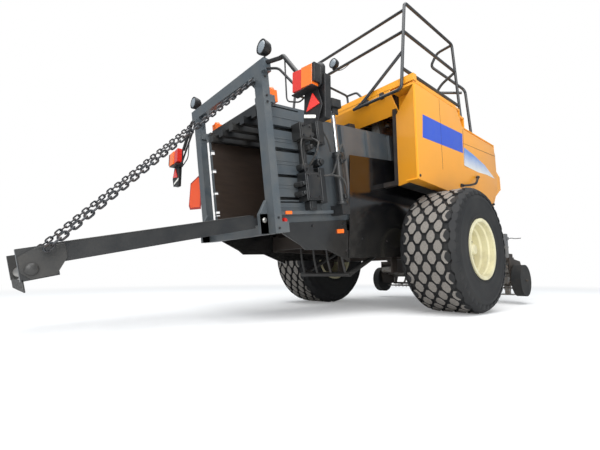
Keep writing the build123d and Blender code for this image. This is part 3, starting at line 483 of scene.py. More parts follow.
def pipe(shape, points, radius, bend=0.04, sides=10, place=at):
    """A round bar through the points, closed at both ends, in the axes of the placing function."""
    line = rounded([place(*point) for point in points], bend)
    rings = []
    up = Vector((0.13, 0.21, 0.97))
    for index, point in enumerate(line):
        along = (line[min(index + 1, len(line) - 1)] - line[max(index - 1, 0)]).normalized()
        first = along.cross(up).normalized()
        second = along.cross(first).normalized()
        angles = [2 * math.pi * side / sides for side in range(sides)]
        rings.append([shape.verts.new(point + radius * (first * math.cos(a) + second * math.sin(a)))
                      for a in angles])
    for low, high in zip(rings, rings[1:]):
        for side in range(sides):
            after = (side + 1) % sides
            shape.faces.new((low[side], low[after], high[after], high[side]))
    shape.faces.new(rings[0])
    shape.faces.new(rings[-1])


print("shape helpers ready")

# %% [markdown]
# The last helpers put blocks together. A block is given by two corners in the machine's axes, or in
# the chamber's or the chute's when its placing function is named. What stands on the left side is
# copied to the right by mirroring. Geometry Nodes repeat what comes in rows: treads, nuts, bolts and links.

# %% Blocks, mirroring and node trees


def block(shape, low, high, place=at):
    """A block between two corners, in the axes of the placing function."""
    verts = [shape.verts.new(place(x, y, z)) for x in (low[0], high[0]) for y in (low[1], high[1])
             for z in (low[2], high[2])]
    for face in ((0, 1, 3, 2), (4, 6, 7, 5), (0, 4, 5, 1), (2, 3, 7, 6), (0, 2, 6, 4), (1, 5, 7, 3)):
        shape.faces.new([verts[corner] for corner in face])


def side_plate(shape, outline, y0, y1, place=at):
    """A plate seen from the side: its outline is given along and up, its thickness across."""
    lift = place(0, y1, 0) - place(0, y0, 0)
    prism(shape, [place(x, y0, z) for x, z in outline], lift)


def rear_plate(shape, outline, x0, x1, place=at):
    """A plate seen from behind: its outline is given across and up, its thickness along."""
    lift = place(x1, 0, 0) - place(x0, 0, 0)
    prism(shape, [place(x0, y, z) for y, z in outline], lift)


def both_sides(shape):
    """Copies everything in the shape to the other side of the machine."""
    copy = bmesh.ops.duplicate(shape, geom=shape.verts[:] + shape.edges[:] + shape.faces[:])["geom"]
    for vert in (part for part in copy if isinstance(part, bmesh.types.BMVert)):
        vert.co.y = -vert.co.y


def finish_piece(name, shape, finish, body="baler_frame", bevel=0.0, sharp=35.0):
    """Rounds the hard edges and puts the piece in the scene, riding on its body."""
    bmesh.ops.remove_doubles(shape, verts=shape.verts, dist=0.00002)
    bmesh.ops.recalc_face_normals(shape, faces=shape.faces)
    if bevel:
        hard = [edge for edge in shape.edges if edge.calc_face_angle(0.0) > math.radians(sharp)]
        bmesh.ops.bevel(shape, geom=hard, offset=bevel, segments=1, affect="EDGES", clamp_overlap=True)
    mesh = to_mesh(name, shape)
    mesh.polygons.foreach_set("use_smooth", [True] * len(mesh.polygons))
    mesh.set_sharp_from_angle(angle=math.radians(sharp))
    mesh.materials.clear()
    mesh.materials.append(finishes[finish])
    piece = bpy.data.objects.new(name, mesh)
    bpy.context.scene.collection.objects.link(piece)
    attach(piece, body)
    return piece


def new_tree(name, sockets):
    """An empty node tree with its named inputs, given as name and kind."""
    tree = bpy.data.node_groups.new(name, "GeometryNodeTree")
    tree.interface.new_socket("Geometry", in_out="INPUT", socket_type="NodeSocketGeometry")
    for socket, kind in sockets:
        tree.interface.new_socket(socket, in_out="INPUT", socket_type=kind)
    tree.interface.new_socket("Geometry", in_out="OUTPUT", socket_type="NodeSocketGeometry")
    return tree, add(tree, "NodeGroupInput").outputs


def end_tree(tree, instances, finish):
    """Makes the instances real, gives them their finish and hands them out."""
    real = add(tree, "GeometryNodeRealizeInstances", (), {"Geometry": instances})
    painted = add(tree, "GeometryNodeSetMaterial", (), {"Geometry": real.outputs[0], "Material": finish})
    add(tree, "NodeGroupOutput", (), {"Geometry": painted.outputs[0]})


def grow(mesh, tree, values):
    """Runs a tree on a mesh and returns a bmesh of what it made."""
    holder = bpy.data.objects.new("holder", mesh)
    bpy.context.scene.collection.objects.link(holder)
    modifier = holder.modifiers.new(tree.name, "NODES")
    modifier.node_group = tree
    for socket in tree.interface.items_tree:
        if socket.in_out == "INPUT" and socket.name in values:
            modifier[socket.identifier] = values[socket.name]
    made = bpy.data.meshes.new_from_object(holder.evaluated_get(bpy.context.evaluated_depsgraph_get()))
    holder.modifiers.clear()
    bpy.data.objects.remove(holder)
    shape = bmesh.new()
    shape.from_mesh(made)
    return shape


# Copies round a wheel's axle
sockets = [("Centre", "NodeSocketVector"), ("Copies", "NodeSocketInt"), ("Finish", "NodeSocketMaterial")]
round_tree, taken = new_tree("copies round the axle", sockets)
places = add(round_tree, "GeometryNodeMeshLine", {"mode": "OFFSET"},
             {"Count": taken["Copies"], "Start Location": taken["Centre"], "Offset": (0, 0, 0)})
turn = add(round_tree, "ShaderNodeMath", {"operation": "DIVIDE"}, {0: 2 * math.pi, 1: taken["Copies"]})
number = add(round_tree, "GeometryNodeInputIndex")
angle = add(round_tree, "ShaderNodeMath", {"operation": "MULTIPLY"},
            {0: turn.outputs[0], 1: number.outputs[0]})
spin = add(round_tree, "ShaderNodeCombineXYZ", (), {"Y": angle.outputs[0]})
copies = add(round_tree, "GeometryNodeInstanceOnPoints", (),
             {"Points": places.outputs[0], "Instance": taken["Geometry"],
              "Rotation": spin.outputs[0]})
end_tree(round_tree, copies.outputs[0], taken["Finish"])

# Links along a line, every other one turned a quarter
sockets = [("Start", "NodeSocketVector"), ("End", "NodeSocketVector"), ("Links", "NodeSocketInt"),
           ("Slope", "NodeSocketFloat"), ("Finish", "NodeSocketMaterial")]
chain_tree, taken = new_tree("links along a line", sockets)
places = add(chain_tree, "GeometryNodeMeshLine", {"mode": "END_POINTS"},
             {"Count": taken["Links"], "Start Location": taken["Start"], "Offset": taken["End"]})
number = add(chain_tree, "GeometryNodeInputIndex")
odd = add(chain_tree, "ShaderNodeMath", {"operation": "MODULO"}, {0: number.outputs[0], 1: 2.0})
roll = add(chain_tree, "ShaderNodeMath", {"operation": "MULTIPLY"}, {0: odd.outputs[0], 1: math.pi / 2})
lie = add(chain_tree, "ShaderNodeCombineXYZ", (), {"X": roll.outputs[0], "Y": taken["Slope"]})
links = add(chain_tree, "GeometryNodeInstanceOnPoints", (),
            {"Points": places.outputs[0], "Instance": taken["Geometry"],
             "Rotation": lie.outputs[0]})
end_tree(chain_tree, links.outputs[0], taken["Finish"])

# Hexagon heads on points that carry the way they face
sockets = [("Radius", "NodeSocketFloat"), ("Height", "NodeSocketFloat"), ("Finish", "NodeSocketMaterial")]
bolt_tree, taken = new_tree("bolt heads", sockets)
facing = add(bolt_tree, "GeometryNodeInputNamedAttribute", {"data_type": "FLOAT_VECTOR"}, {"Name": "facing"})
head = add(bolt_tree, "GeometryNodeMeshCylinder", (), {"Vertices": 6, "Radius": taken["Radius"],
                                                       "Depth": taken["Height"]})
heads = add(bolt_tree, "GeometryNodeInstanceOnPoints", (),
            {"Points": taken["Geometry"], "Instance": head.outputs[0],
             "Rotation": facing.outputs[0]})
end_tree(bolt_tree, heads.outputs[0], taken["Finish"])
print("node trees:", [tree.name for tree in bpy.data.node_groups])

# %% [markdown]
# ## Tyres
# They are wide flotation tyres with a turf tread: staggered diamond blocks, five and four in a row,
# with their corners cut off. The road has scuffed their tops grey, and the shoulder blocks, which
# lie lower, stay dark. One pair of rows is modelled, and a node tree copies it round the axle.
# The casing is turned from its profile, with the rounded shoulders of the real one.

# %% Tyres
# The machine's two sides: which way each lies across, and its name
SIDES = ((1, "left"), (-1, "right"))
TREAD_DEPTH, FOOT_SINK = 0.025, 0.004
ROW_PAIRS, TYRE_STEPS = 20, 96
BLOCK_SPACING = 0.1315
BLOCK_HALF_LENGTH, BLOCK_HALF_WIDTH, CORNER_CUTS = 0.056, 0.038, (0.013, 0.017)
# The outermost blocks of a row are narrower and stand a little closer in
EDGE_HALF_WIDTH, EDGE_PULL = 0.026, 0.965
SHOULDER_START, SHOULDER_WIDTH, SHOULDER_DROP = 0.19, 0.0975, 0.0575
LUG_ACROSS, LUG_HALF_WIDTH, LUG_HALF_LENGTH = 0.26, 0.02, 0.045
# The casing: where the crown is measured across, then the sidewall as (radius, across) to the bead
CROWN_PLACES = (-0.27, -0.245, -0.22, -0.19, 0, 0.19, 0.22, 0.245, 0.27)
SIDEWALL = [(0.525, 0.283), (0.5, 0.2872), (0.494, 0.2872), (0.488, 0.2855), (0.44, 0.2872), (0.385, 0.284),
            (0.345, 0.2775), (0.338, 0.2795), (0.33, 0.2765), (0.312, 0.2695), (0.306, 0.2685),
            (0.2865, 0.2685)]


def tread_radius(across):
    """The tyre's outside radius, which falls off towards the shoulders."""
    beyond = max(0.0, abs(across) - SHOULDER_START) / SHOULDER_WIDTH
    return WHEEL_RADIUS - SHOULDER_DROP * beyond**2


def tread_block(shape, turn, across, half_width, half_length=BLOCK_HALF_LENGTH):
    """One diamond block with cut corners: a wide foot, straight flanks and a small chamfer."""
    cut_long, cut_wide = CORNER_CUTS
    outline = [(half_length, cut_long), (cut_wide, half_width), (-cut_wide, half_width),
               (-half_length, cut_long), (-half_length, -cut_long), (-cut_wide, -half_width),
               (cut_wide, -half_width), (half_length, -cut_long)]
    rings = []
    # Each level of the block: its depth below the top and its size
    for depth, size in ((TREAD_DEPTH + FOOT_SINK, 1.22), (FOOT_SINK, 1.05), (0.0, 0.98)):
        ring = []
        for along, side in outline:
            y = across + side * size
            radius = tread_radius(y) - depth
            angle = turn + along * size / WHEEL_RADIUS
            ring.append(shape.verts.new((radius * math.cos(angle), y, radius * math.sin(angle))))
        rings.append(ring)
    shape.faces.new(rings[0])
    shape.faces.new(rings[-1])
    for low, high in zip(rings, rings[1:]):
        for corner in range(8):
            after = (corner + 1) % 8
            shape.faces.new((low[corner], low[after], high[after], high[corner]))


def make_tyre(side, name, body, node):
    """A tyre of copied rows of blocks on a turned casing, in place of its CAD node."""
    rows = bmesh.new()
    for place in (-2, -1, 0, 1, 2):
        pull, half_width = (EDGE_PULL, EDGE_HALF_WIDTH) if abs(place) == 2 else (1.0, BLOCK_HALF_WIDTH)
        tread_block(rows, 0.0, place * BLOCK_SPACING * pull, half_width)
    for place in (-1.5, -0.5, 0.5, 1.5):
        tread_block(rows, math.pi / ROW_PAIRS, place * BLOCK_SPACING, BLOCK_HALF_WIDTH)
    # A short shoulder lug between the five-block rows
    for place in (-1, 1):
        tread_block(rows, math.pi / ROW_PAIRS, place * LUG_ACROSS, LUG_HALF_WIDTH, LUG_HALF_LENGTH)
    values = {"Centre": at(0, side * WHEEL_Y, WHEEL_RADIUS), "Copies": ROW_PAIRS,
              "Finish": finishes["tyre rubber"]}
    tyre = grow(to_mesh(name, rows), round_tree, values)
    crown = [(tread_radius(t) - TREAD_DEPTH, t) for t in CROWN_PLACES]
    profile = [*[(r, -t) for r, t in reversed(SIDEWALL)], *crown, *SIDEWALL]
    lathe(tyre, profile, at(0, side * WHEEL_Y, WHEEL_RADIUS), (0, 1, 0), TYRE_STEPS, closed=True)
    piece = finish_piece(name, tyre, "tyre rubber", body, sharp=28.0)
    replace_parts(piece, node)


for side, hand in SIDES:
    make_tyre(side, f"treaded_tyre_{hand}", f"wheel_{hand}", f"tyre_{hand}")
tyre_faces = bpy.data.objects["treaded_tyre_right"].data.polygons
print("tyre triangles:", sum(len(p.vertices) - 2 for p in tyre_faces))

# %% [markdown]
# ## Wheels
# The rims are deep dishes pressed in steps, with a ring of nuts on the disc and a cap over the hub.
# The steps and the cap are round, so they are turned. One nut is modelled, and the node tree that
# copied the tread copies it round the hub.

# %% Rims' steps and nuts
RIM_DISC_Y, NUT_CIRCLE, NUT_COUNT = 0.0925, 0.145, 10
RIM_STEPS = [(0.2733, 0.281), (0.2655, 0.279), (0.2655, 0.235), (0.2525, 0.222), (0.2525, 0.165),
             (0.236, 0.15), (0.236, 0.094), (0.2733, 0.094)]
HUB_CAP = [(0, 0.15), (0.05, 0.15), (0.056, 0.185), (0.046, 0.2), (0, 0.203)]
WHEEL_NUT = [(0, 0.0), (0.017, 0.0), (0.017, 0.018), (0.014, 0.022), (0.008, 0.022), (0.008, 0.034),
             (0, 0.034)]

for side, hand in SIDES:
    centre = at(0, side * WHEEL_Y, WHEEL_RADIUS)
    steps = bmesh.new()
    lathe(steps, [(r, side * t) for r, t in RIM_STEPS], centre, (0, 1, 0), TYRE_STEPS, closed=True)
    lathe(steps, HUB_CAP, centre, (0, side, 0), 32)
    finish_piece(f"rim_steps_{hand}", steps, "cream wheel paint", f"wheel_{hand}")
    nut = bmesh.new()
    lathe(nut, WHEEL_NUT, Vector((NUT_CIRCLE, side * RIM_DISC_Y, 0)), (0, side, 0), 6)
    values = {"Centre": centre, "Copies": NUT_COUNT, "Finish": finishes["zinc plated bolt"]}
    nuts = grow(to_mesh("nut", nut), round_tree, values)
    finish_piece(f"wheel_nuts_{hand}", nuts, "zinc plated bolt", f"wheel_{hand}")
print("rim steps, caps and", NUT_COUNT, "nuts on each wheel")

# %% [markdown]
# ## Chains
# The chute hangs on two chains of oval links. The CAD model has each as two bars that swing, one on
# the post's pin and one on the chute's pin, so the links are laid along each bar and ride with it.
# One link is bent from round wire, and a node tree lays it along a line with every other one turned.

# %% Chains
LINK_PITCH, LINK_WIRE, LINK_HALF_WIDTH = 0.041, 0.0062, 0.0135
CHAIN_TOP = (-2.196, 1.87)
# How much of the chain, from its top, swings with the upper bar
CHAIN_SHARE = 0.42
# Where the lower pin is, back along the chute and up off it
CHAIN_FOOT = (1.37, 0.025)
CHAIN_PLANES = (0.5, 0.536)


def oval_link():
    """One round-wire link lying along X."""
    link = bmesh.new()
    reach = LINK_PITCH / 2 + LINK_WIRE - LINK_HALF_WIDTH
    line = []
    for end in (1, -1):
        for step in range(7):
            a = math.pi * (step / 6 - 0.5)
            line.append((end * (reach + LINK_HALF_WIDTH * math.cos(a)), end * LINK_HALF_WIDTH * math.sin(a)))
    rings = []
    for index, (x, z) in enumerate(line):
        before, after = line[index - 1], line[(index + 1) % len(line)]
        along = Vector((after[0] - before[0], 0, after[1] - before[1])).normalized()
        out = Vector((along.z, 0, -along.x))
        turns = [math.pi * k / 3 for k in range(6)]
        wire = [LINK_WIRE * (out * math.cos(a) + Vector((0, math.sin(a), 0))) for a in turns]
        rings.append([link.verts.new(Vector((x, 0, z)) + offset) for offset in wire])
    for low, high in zip(rings, [*rings[1:], rings[0]]):
        for k in range(6):
            link.faces.new((low[k], low[(k + 1) % 6], high[(k + 1) % 6], high[k]))
    return to_mesh("link", link)


foot = on_chute(CHAIN_FOOT[0], 0, CHAIN_FOOT[1])
top = at(CHAIN_TOP[0], 0, CHAIN_TOP[1])
middle = top + (foot - top) * CHAIN_SHARE
middle_y = sum(CHAIN_PLANES) / 2
slope = math.atan2(foot.z - top.z, foot.x - top.x)
# Each half: its name, its body, its CAD node, its pin and how far out it hangs there
for name, body, node, pin, plane in (("links_upper", "chains_top", "chain_upper", top, CHAIN_PLANES[0]),
                                     ("links_lower", "chains_bottom", "chain_lower", foot, CHAIN_PLANES[1])):
    way = (middle - pin).normalized()
    count = round((middle - pin).length / LINK_PITCH)
    start = pin + way * LINK_PITCH * 0.3
    end = middle - way * LINK_PITCH * 0.5
    values = {"Start": (start.x, plane, start.z), "End": (end.x, middle_y, end.z), "Links": count,
              "Slope": -slope, "Finish": finishes["dark chain steel"]}
    row = grow(oval_link(), chain_tree, values)
    both_sides(row)
    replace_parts(finish_piece(name, row, "dark chain steel", body), node)
print("links in a chain:", round((foot - top).length / LINK_PITCH))

# %% [markdown]
# ## Side doors
# Each door is a moulded skin, creased along a low line that climbs to the middle and falls to the
# front. Below the crease it leans in to the bottom edge. The skin has turned edges and a slanted
# return at its rear, and hangs on two knuckles. Its faces are laid between a few named corners, so the
# crease stays where the photo shows it, and the skin then gets its thickness.

# %% Side doors
DOOR_FACE, DOOR_FLANGE, DOOR_SKIN, DOOR_TAPER = 0.975, 0.06, 0.014, 0.068
CREASE = [(-0.64, 1.276), (0.371, 1.63), (1.33, 1.497)]
DOOR_TOP = [(-0.64, 2.247), (0.27, 2.247), (0.375, 2.085), (0.44, 2.055), (1.27, 2.055), (1.33, 1.95)]
DOOR_FOOT = [(-0.64, 1.272), (0.371, 1.262), (1.33, 1.252)]
DOOR_EDGE_ROUNDING, DOOR_REAR_X = 0.012, -0.6395
RETURN_SLANT, RETURN_DEPTH = 0.12, 0.29
RETURN_LOW_Z, RETURN_INNER_TOP_Z, RETURN_OUTER_TOP_Z = 1.275, 2.04, 2.244
HINGE_PLACES = (-0.52, 0.15)
HINGE_Y, HINGE_Z = 0.965, 2.26


def door_skin():
    """The left door as a closed shell."""
    door = bmesh.new()
    lean = (0.0, DOOR_TAPER * 0.9, DOOR_TAPER)
    crease = [door.verts.new(at(x, DOOR_FACE, z)) for x, z in CREASE]
    head = [door.verts.new(at(x, DOOR_FACE, z)) for x, z in DOOR_TOP]
    foot_row = [door.verts.new(at(x, DOOR_FACE - inward, z)) for (x, z), inward in zip(DOOR_FOOT, lean)]
    door.faces.new([*head, *reversed(crease)])
    door.faces.new((crease[0], crease[1], foot_row[1], foot_row[0]))
    door.faces.new((crease[1], crease[2], foot_row[2], foot_row[1]))
    edge = [*head, crease[2], *reversed(foot_row), crease[0]]
    inner = [door.verts.new((vert.co.x, DOOR_FACE - DOOR_FLANGE - DOOR_TAPER, vert.co.z)) for vert in edge]
    for step in range(len(edge)):
        after = (step + 1) % len(edge)
        if max(edge[step].co.x, edge[after].co.x) > edge[0].co.x + 0.01:
            door.faces.new((edge[step], edge[after], inner[after], inner[step]))
    bmesh.ops.recalc_face_normals(door, faces=door.faces)
    rim = [e for e in door.edges if len(e.link_faces) == 2 and e.calc_face_angle(0.0) > math.radians(50)
           and all(v in edge for v in e.verts)]
    bmesh.ops.bevel(door, geom=rim, offset=DOOR_EDGE_ROUNDING, segments=3, affect="EDGES", profile=0.5,
                    clamp_overlap=True)
    bmesh.ops.solidify(door, geom=door.faces[:], thickness=DOOR_SKIN)
    return door


def door_fittings(door):
    """The slanted rear return and the hinge knuckles of the left door."""
    outer, inner = at(DOOR_REAR_X, DOOR_FACE - 0.002, 0), Vector((RETURN_SLANT, -RETURN_DEPTH, 0.0))
    thick = Vector((RETURN_DEPTH, RETURN_SLANT, 0.0)).normalized() * DOOR_SKIN
    inner += outer
    corners = [outer + Vector((0, 0, RETURN_LOW_Z)), inner + Vector((0, 0, RETURN_LOW_Z)),
               inner + Vector((0, 0, RETURN_INNER_TOP_Z)), outer + Vector((0, 0, RETURN_OUTER_TOP_Z))]
    prism(door, corners, thick)
    for x in HINGE_PLACES:
        lathe(door, [(0, 0), (0.013, 0), (0.013, 0.06), (0, 0.06)], at(x, HINGE_Y, HINGE_Z), (1, 0, 0), 16)
        block(door, (x, HINGE_Y - 0.006, 2.235), (x + 0.06, HINGE_Y + 0.006, 2.26))


for side, hand in SIDES:
    door = door_skin()
    door_fittings(door)
    if side < 0:
        for vert in door.verts:
            vert.co.y = -vert.co.y
    piece = finish_piece(f"creased_door_{hand}", door, "yellow panel paint", f"{hand}_side_door", sharp=24.0)
    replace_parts(piece, f"side_door_{hand}")
print("door triangles:", sum(len(p.vertices) - 2 for p in piece.data.polygons))

# %% [markdown]
# ## The door's stripe, seams and handle
# A plain blue band runs forward from near the rear edge. Ahead of it a sweep fades from blue to
# white and tapers out. Both are film on the real door, so they are plates less than a millimetre
# thick, laid on its flat face. Thin seams part the panels. A cranked handle with a round knob and a
# small latch stand below the band.

# %% Stripe, seams and handle
BAND = [(-0.52, 1.71), (-0.50, 1.955), (0.372, 1.985), (0.36, 1.752)]
SWEEP = [(0.372, 1.61), (0.385, 1.83), (0.62, 1.80), (0.95, 1.735), (1.25, 1.612), (1.0, 1.618),
         (0.738, 1.60)]
FILM_GAP, FILM_THICKNESS = 0.0001, 0.0008
SEAM_HALF_WIDTH, SEAM_THICKNESS = 0.0018, 0.0012
BRUSH_MARKS_PER_METRE, BRUSH_SHARE, FADE_LOW_Z, FADE_HIGH_Z = 14.0, 0.25, 1.62, 1.80
SEAMS = [[(-0.142, 1.46), (-0.142, 2.235)], [(0.39, 1.64), (0.39, 2.045)], [(0.39, 1.875), (1.32, 1.93)]]
HANDLE_RADIUS, HANDLE_BEND = 0.013, 0.04
HANDLE_KNOB = [(0, -0.02), (0.016, -0.014), (0.022, 0), (0.016, 0.014), (0, 0.02)]
# The round buttons: their profile, and for each its place and how far it lies behind the door's face
BUTTON = [(0, -0.03), (0.014, -0.03), (0.014, 0.006), (0, 0.01)]
BUTTON_PLACES = ((1.29, 1.285, 0.045), (-0.6, 1.31, 0.0))


def on_door(outline, side):
    """A film on the door's flat face."""
    plate = bmesh.new()
    prism(plate, [at(x, side * (DOOR_FACE + FILM_GAP), z) for x, z in outline], (0, side * FILM_THICKNESS, 0))
    return plate


tree, shader, place = new_finish("fading sweep film")
heights = add(tree, "ShaderNodeSeparateXYZ", (), {"Vector": place})
rise = add(tree, "ShaderNodeMapRange", (), {"Value": heights.outputs["Z"], "From Min": FADE_LOW_Z,
                                            "From Max": FADE_HIGH_Z})
brush = add(tree, "ShaderNodeTexNoise", (), {"Vector": place, "Scale": BRUSH_MARKS_PER_METRE})
mixed = add(tree, "ShaderNodeMath", {"operation": "MULTIPLY_ADD", "use_clamp": True},
            {0: brush.outputs["Fac"], 1: BRUSH_SHARE, 2: rise.outputs[0]})
film = add(tree, "ShaderNodeMix", COLOURS, {0: mixed.outputs[0], 6: rgb("dcdcd6"), 7: rgb("6f8fc6")})
tree.links.new(film.outputs[2], shader.inputs["Base Color"])
shader.inputs["Roughness"].default_value = 0.35

for side, hand in SIDES:
    body = f"{hand}_side_door"
    finish_piece(f"blue_band_{hand}", on_door(BAND, side), "blue stripe film", body)
    finish_piece(f"sweep_{hand}", on_door(SWEEP, side), "fading sweep film", body)
    seams = bmesh.new()
    for (x0, z0), (x1, z1) in SEAMS:
        along = Vector((x1 - x0, 0, z1 - z0)).normalized()
        thin = Vector((-along.z, 0, along.x)) * SEAM_HALF_WIDTH
        start, end = at(x0, side * DOOR_FACE, z0), at(x1, side * DOOR_FACE, z1)
        prism(seams, [start - thin, start + thin, end + thin, end - thin], (0, side * SEAM_THICKNESS, 0))
    finish_piece(f"panel_seams_{hand}", seams, "grey moulded plastic", body)
    handle = bmesh.new()
    out = side * (DOOR_FACE - 0.02)
    pipe(handle, [(0.36, out, 1.375), (0.50, side * DOOR_FACE, 1.40), (0.64, side * (DOOR_FACE + 0.01), 1.44),
                  (0.70, side * (DOOR_FACE + 0.01), 1.52)], HANDLE_RADIUS, HANDLE_BEND)
    lathe(handle, HANDLE_KNOB, at(0.705, side * (DOOR_FACE + 0.008), 1.53), (0, 0, 1), 16)
    block(handle, (0.33, min(out, out - side * 0.03), 1.36), (0.375, max(out, out - side * 0.03), 1.395))
    block(handle, (-0.06, min(out, out + side * 0.012), 1.455), (-0.015, max(out, out + side * 0.012), 1.475))
    # Round buttons at the door's two lower corners
    for x, z, depth in BUTTON_PLACES:
        lathe(handle, BUTTON, at(x, side * (DOOR_FACE - depth), z), (0, side, 0), 14)
    finish_piece(f"door_handle_{hand}", handle, "black lamp plastic", body, bevel=0.002)
print("door trim done")

# %% [markdown]
# ## Roof lip, soffit and hood
# Under the deck's rear lip a yellow soffit slopes down and forward over the knotters. The deck is
# narrower ahead of a step. The hood beyond it is lower, and its nose slopes down over the gearbox.
# They are plates between flat outlines, because the real ones are folded from sheet. The photo hides
# the hood's front, so its nose follows common machines of this class.

# %% Roof and hood
SHELL_WALL, SOFFIT_THICKNESS = 0.016, 0.014
ROOF_REAR_X, LIP_LOW_Z, ROOF_LOW_Z = -0.64, 2.245, 2.277
HOOD_TOP_Z, HOOD_REAR_X, HOOD_SHOULDER_X, NOSE_X = 2.1, 0.375, 1.33, 2.42
DECK_TOP_Z, DECK_FRONT_X, DECK_FRONT_HALF_WIDTH = 2.303, 0.66, 0.885
HOOD_HALF_WIDTH, NOSE_HALF_WIDTH = 0.955, 0.64
CHEEK_LOW_Z, NOSE_LOW_Z, NOSE_LENGTH, NOSE_DROP = 1.5, 1.7, 0.33, 0.19

soffit = bmesh.new()
side_plate(soffit, [(ROOF_REAR_X, LIP_LOW_Z), (ROOF_REAR_X, ROOF_LOW_Z + 0.01),
                    (ROOF_REAR_X + SOFFIT_THICKNESS, ROOF_LOW_Z + 0.01),
                    (ROOF_REAR_X + SOFFIT_THICKNESS, LIP_LOW_Z + 0.01), (-0.475, 2.084), (-0.475, 2.07)],
           -0.70, 0.70)
edge = bmesh.new()
rear_plate(edge, [(0.70, 2.262), (0.955, 2.262), (0.955, 2.25), (0.70, 2.07)], ROOF_REAR_X + 0.16,
           ROOF_REAR_X + 0.17)
block(edge, (ROOF_REAR_X + 0.005, 0.70, 2.25), (ROOF_REAR_X + 0.165, 0.958, 2.262))
both_sides(edge)
finish_piece("roof_soffit_ends", edge, "yellow panel paint", bevel=0.002)
finish_piece("roof_soffit", soffit, "yellow panel paint", bevel=0.003)

# The deck: full width behind the step, narrower ahead of it, with its rear lip and the hinge rods
deck = bmesh.new()
block(deck, (ROOF_REAR_X + 0.05, -HOOD_HALF_WIDTH, ROOF_LOW_Z), (HOOD_REAR_X, HOOD_HALF_WIDTH, DECK_TOP_Z))
block(deck, (HOOD_REAR_X, -DECK_FRONT_HALF_WIDTH, ROOF_LOW_Z),
      (DECK_FRONT_X, DECK_FRONT_HALF_WIDTH, DECK_TOP_Z))
block(deck, (ROOF_REAR_X, -0.975, ROOF_LOW_Z - 0.002), (ROOF_REAR_X + 0.06, 0.975, 2.35))
for side in (1, -1):
    lathe(deck, [(0, 0), (0.007, 0), (0.007, 0.9), (0, 0.9)], at(ROOF_REAR_X + 0.005, side * 0.965, 2.26),
          (1, 0, 0), 14)
    block(deck, (ROOF_REAR_X + 0.05, side * 0.96 - 0.006, 2.262), (0.27, side * 0.96 + 0.006, DECK_TOP_Z))
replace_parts(finish_piece("stepped_deck", deck, "yellow panel paint", bevel=0.003), "roof_deck")

# Black plates behind the doors' front edges, which close off part of the view into the shell: a dark sheet
# that stands in for the shade inside it
shade_plates = bmesh.new()
rear_plate(shade_plates, [(0.55, 1.27), (0.90, 1.27), (0.90, 2.05), (0.55, 2.05)], HOOD_SHOULDER_X - 0.03,
           HOOD_SHOULDER_X - 0.02)
both_sides(shade_plates)
finish_piece("hood_shade_plates", shade_plates, "gloss black sheet paint")

hood = bmesh.new()
low_z = HOOD_TOP_Z - SHELL_WALL
block(hood, (HOOD_REAR_X, -HOOD_HALF_WIDTH, low_z), (HOOD_SHOULDER_X + 0.04, HOOD_HALF_WIDTH, HOOD_TOP_Z))
for x, half in ((HOOD_REAR_X, HOOD_HALF_WIDTH), (DECK_FRONT_X - SHELL_WALL, DECK_FRONT_HALF_WIDTH)):
    block(hood, (x, -half, low_z), (x + SHELL_WALL, half, DECK_TOP_Z))
crown_x, nose_z = NOSE_X - NOSE_LENGTH, HOOD_TOP_Z - NOSE_DROP
# The same corners on the inner side of the sheet
inner_x, inner_z, inner_crown_x = NOSE_X - SHELL_WALL, nose_z - 0.008, crown_x - 0.008
side_plate(hood, [(HOOD_SHOULDER_X, HOOD_TOP_Z), (crown_x, HOOD_TOP_Z), (NOSE_X, nose_z),
                  (NOSE_X, NOSE_LOW_Z), (inner_x, NOSE_LOW_Z), (inner_x, inner_z), (inner_crown_x, low_z),
                  (HOOD_SHOULDER_X, low_z)], -NOSE_HALF_WIDTH, NOSE_HALF_WIDTH)
cheeks = bmesh.new()
cheek_x = HOOD_SHOULDER_X + 0.02
side_plate(cheeks, [(cheek_x, CHEEK_LOW_Z), (cheek_x, low_z), (inner_crown_x, low_z), (inner_x, inner_z),
                    (inner_x, NOSE_LOW_Z), (crown_x, CHEEK_LOW_Z)],
           NOSE_HALF_WIDTH - SHELL_WALL, NOSE_HALF_WIDTH)
block(cheeks, (cheek_x, NOSE_HALF_WIDTH, CHEEK_LOW_Z), (cheek_x + SHELL_WALL, HOOD_HALF_WIDTH, low_z))
both_sides(cheeks)
finish_piece("hood_cheeks", cheeks, "yellow panel paint", bevel=0.003)
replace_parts(finish_piece("sloping_hood", hood, "yellow panel paint", bevel=0.003), "front_hood")
print("deck top at", DECK_TOP_Z, "and hood top at", HOOD_TOP_Z)

# %% [markdown]
# ## Handrails
# The rails round the deck are bent from one size of round tube, so each is a line of corners that is
# rounded and given a radius. The rear corner posts stand behind the roof's lip, turn in under it at
# their feet and lean forward as they rise. The front posts lean back as they rise. Hand loops reach
# in from them, and then forward and down.

# %% Handrails
RAIL_RADIUS, RAIL_BEND, RAIL_Y = 0.017, 0.05, 0.862
RAIL_REAR_X, RAIL_FOOT_X, RAIL_FRONT_X, RAIL_FRONT_FOOT_X = -0.558, -0.678, 0.5, 0.604
RAIL_TOP_Z, RAIL_MID_Z, RAIL_LOW_Z, BRACE_TOP_Z = 3.225, 2.872, 2.44, 2.63
UNDER_LIP_Z = LIP_LOW_Z - 2 * RAIL_RADIUS


def corner_x(z):
    """Where the leaning rear corner post stands at a height."""
    return RAIL_REAR_X + (RAIL_TOP_Z - z) / (RAIL_TOP_Z - LIP_LOW_Z) * (RAIL_FOOT_X - RAIL_REAR_X)


def post_x(z):
    """Where the leaning front post stands at a height."""
    return RAIL_FRONT_X + (RAIL_TOP_Z - z) / (RAIL_TOP_Z - RAIL_LOW_Z) * (RAIL_FRONT_FOOT_X - RAIL_FRONT_X)


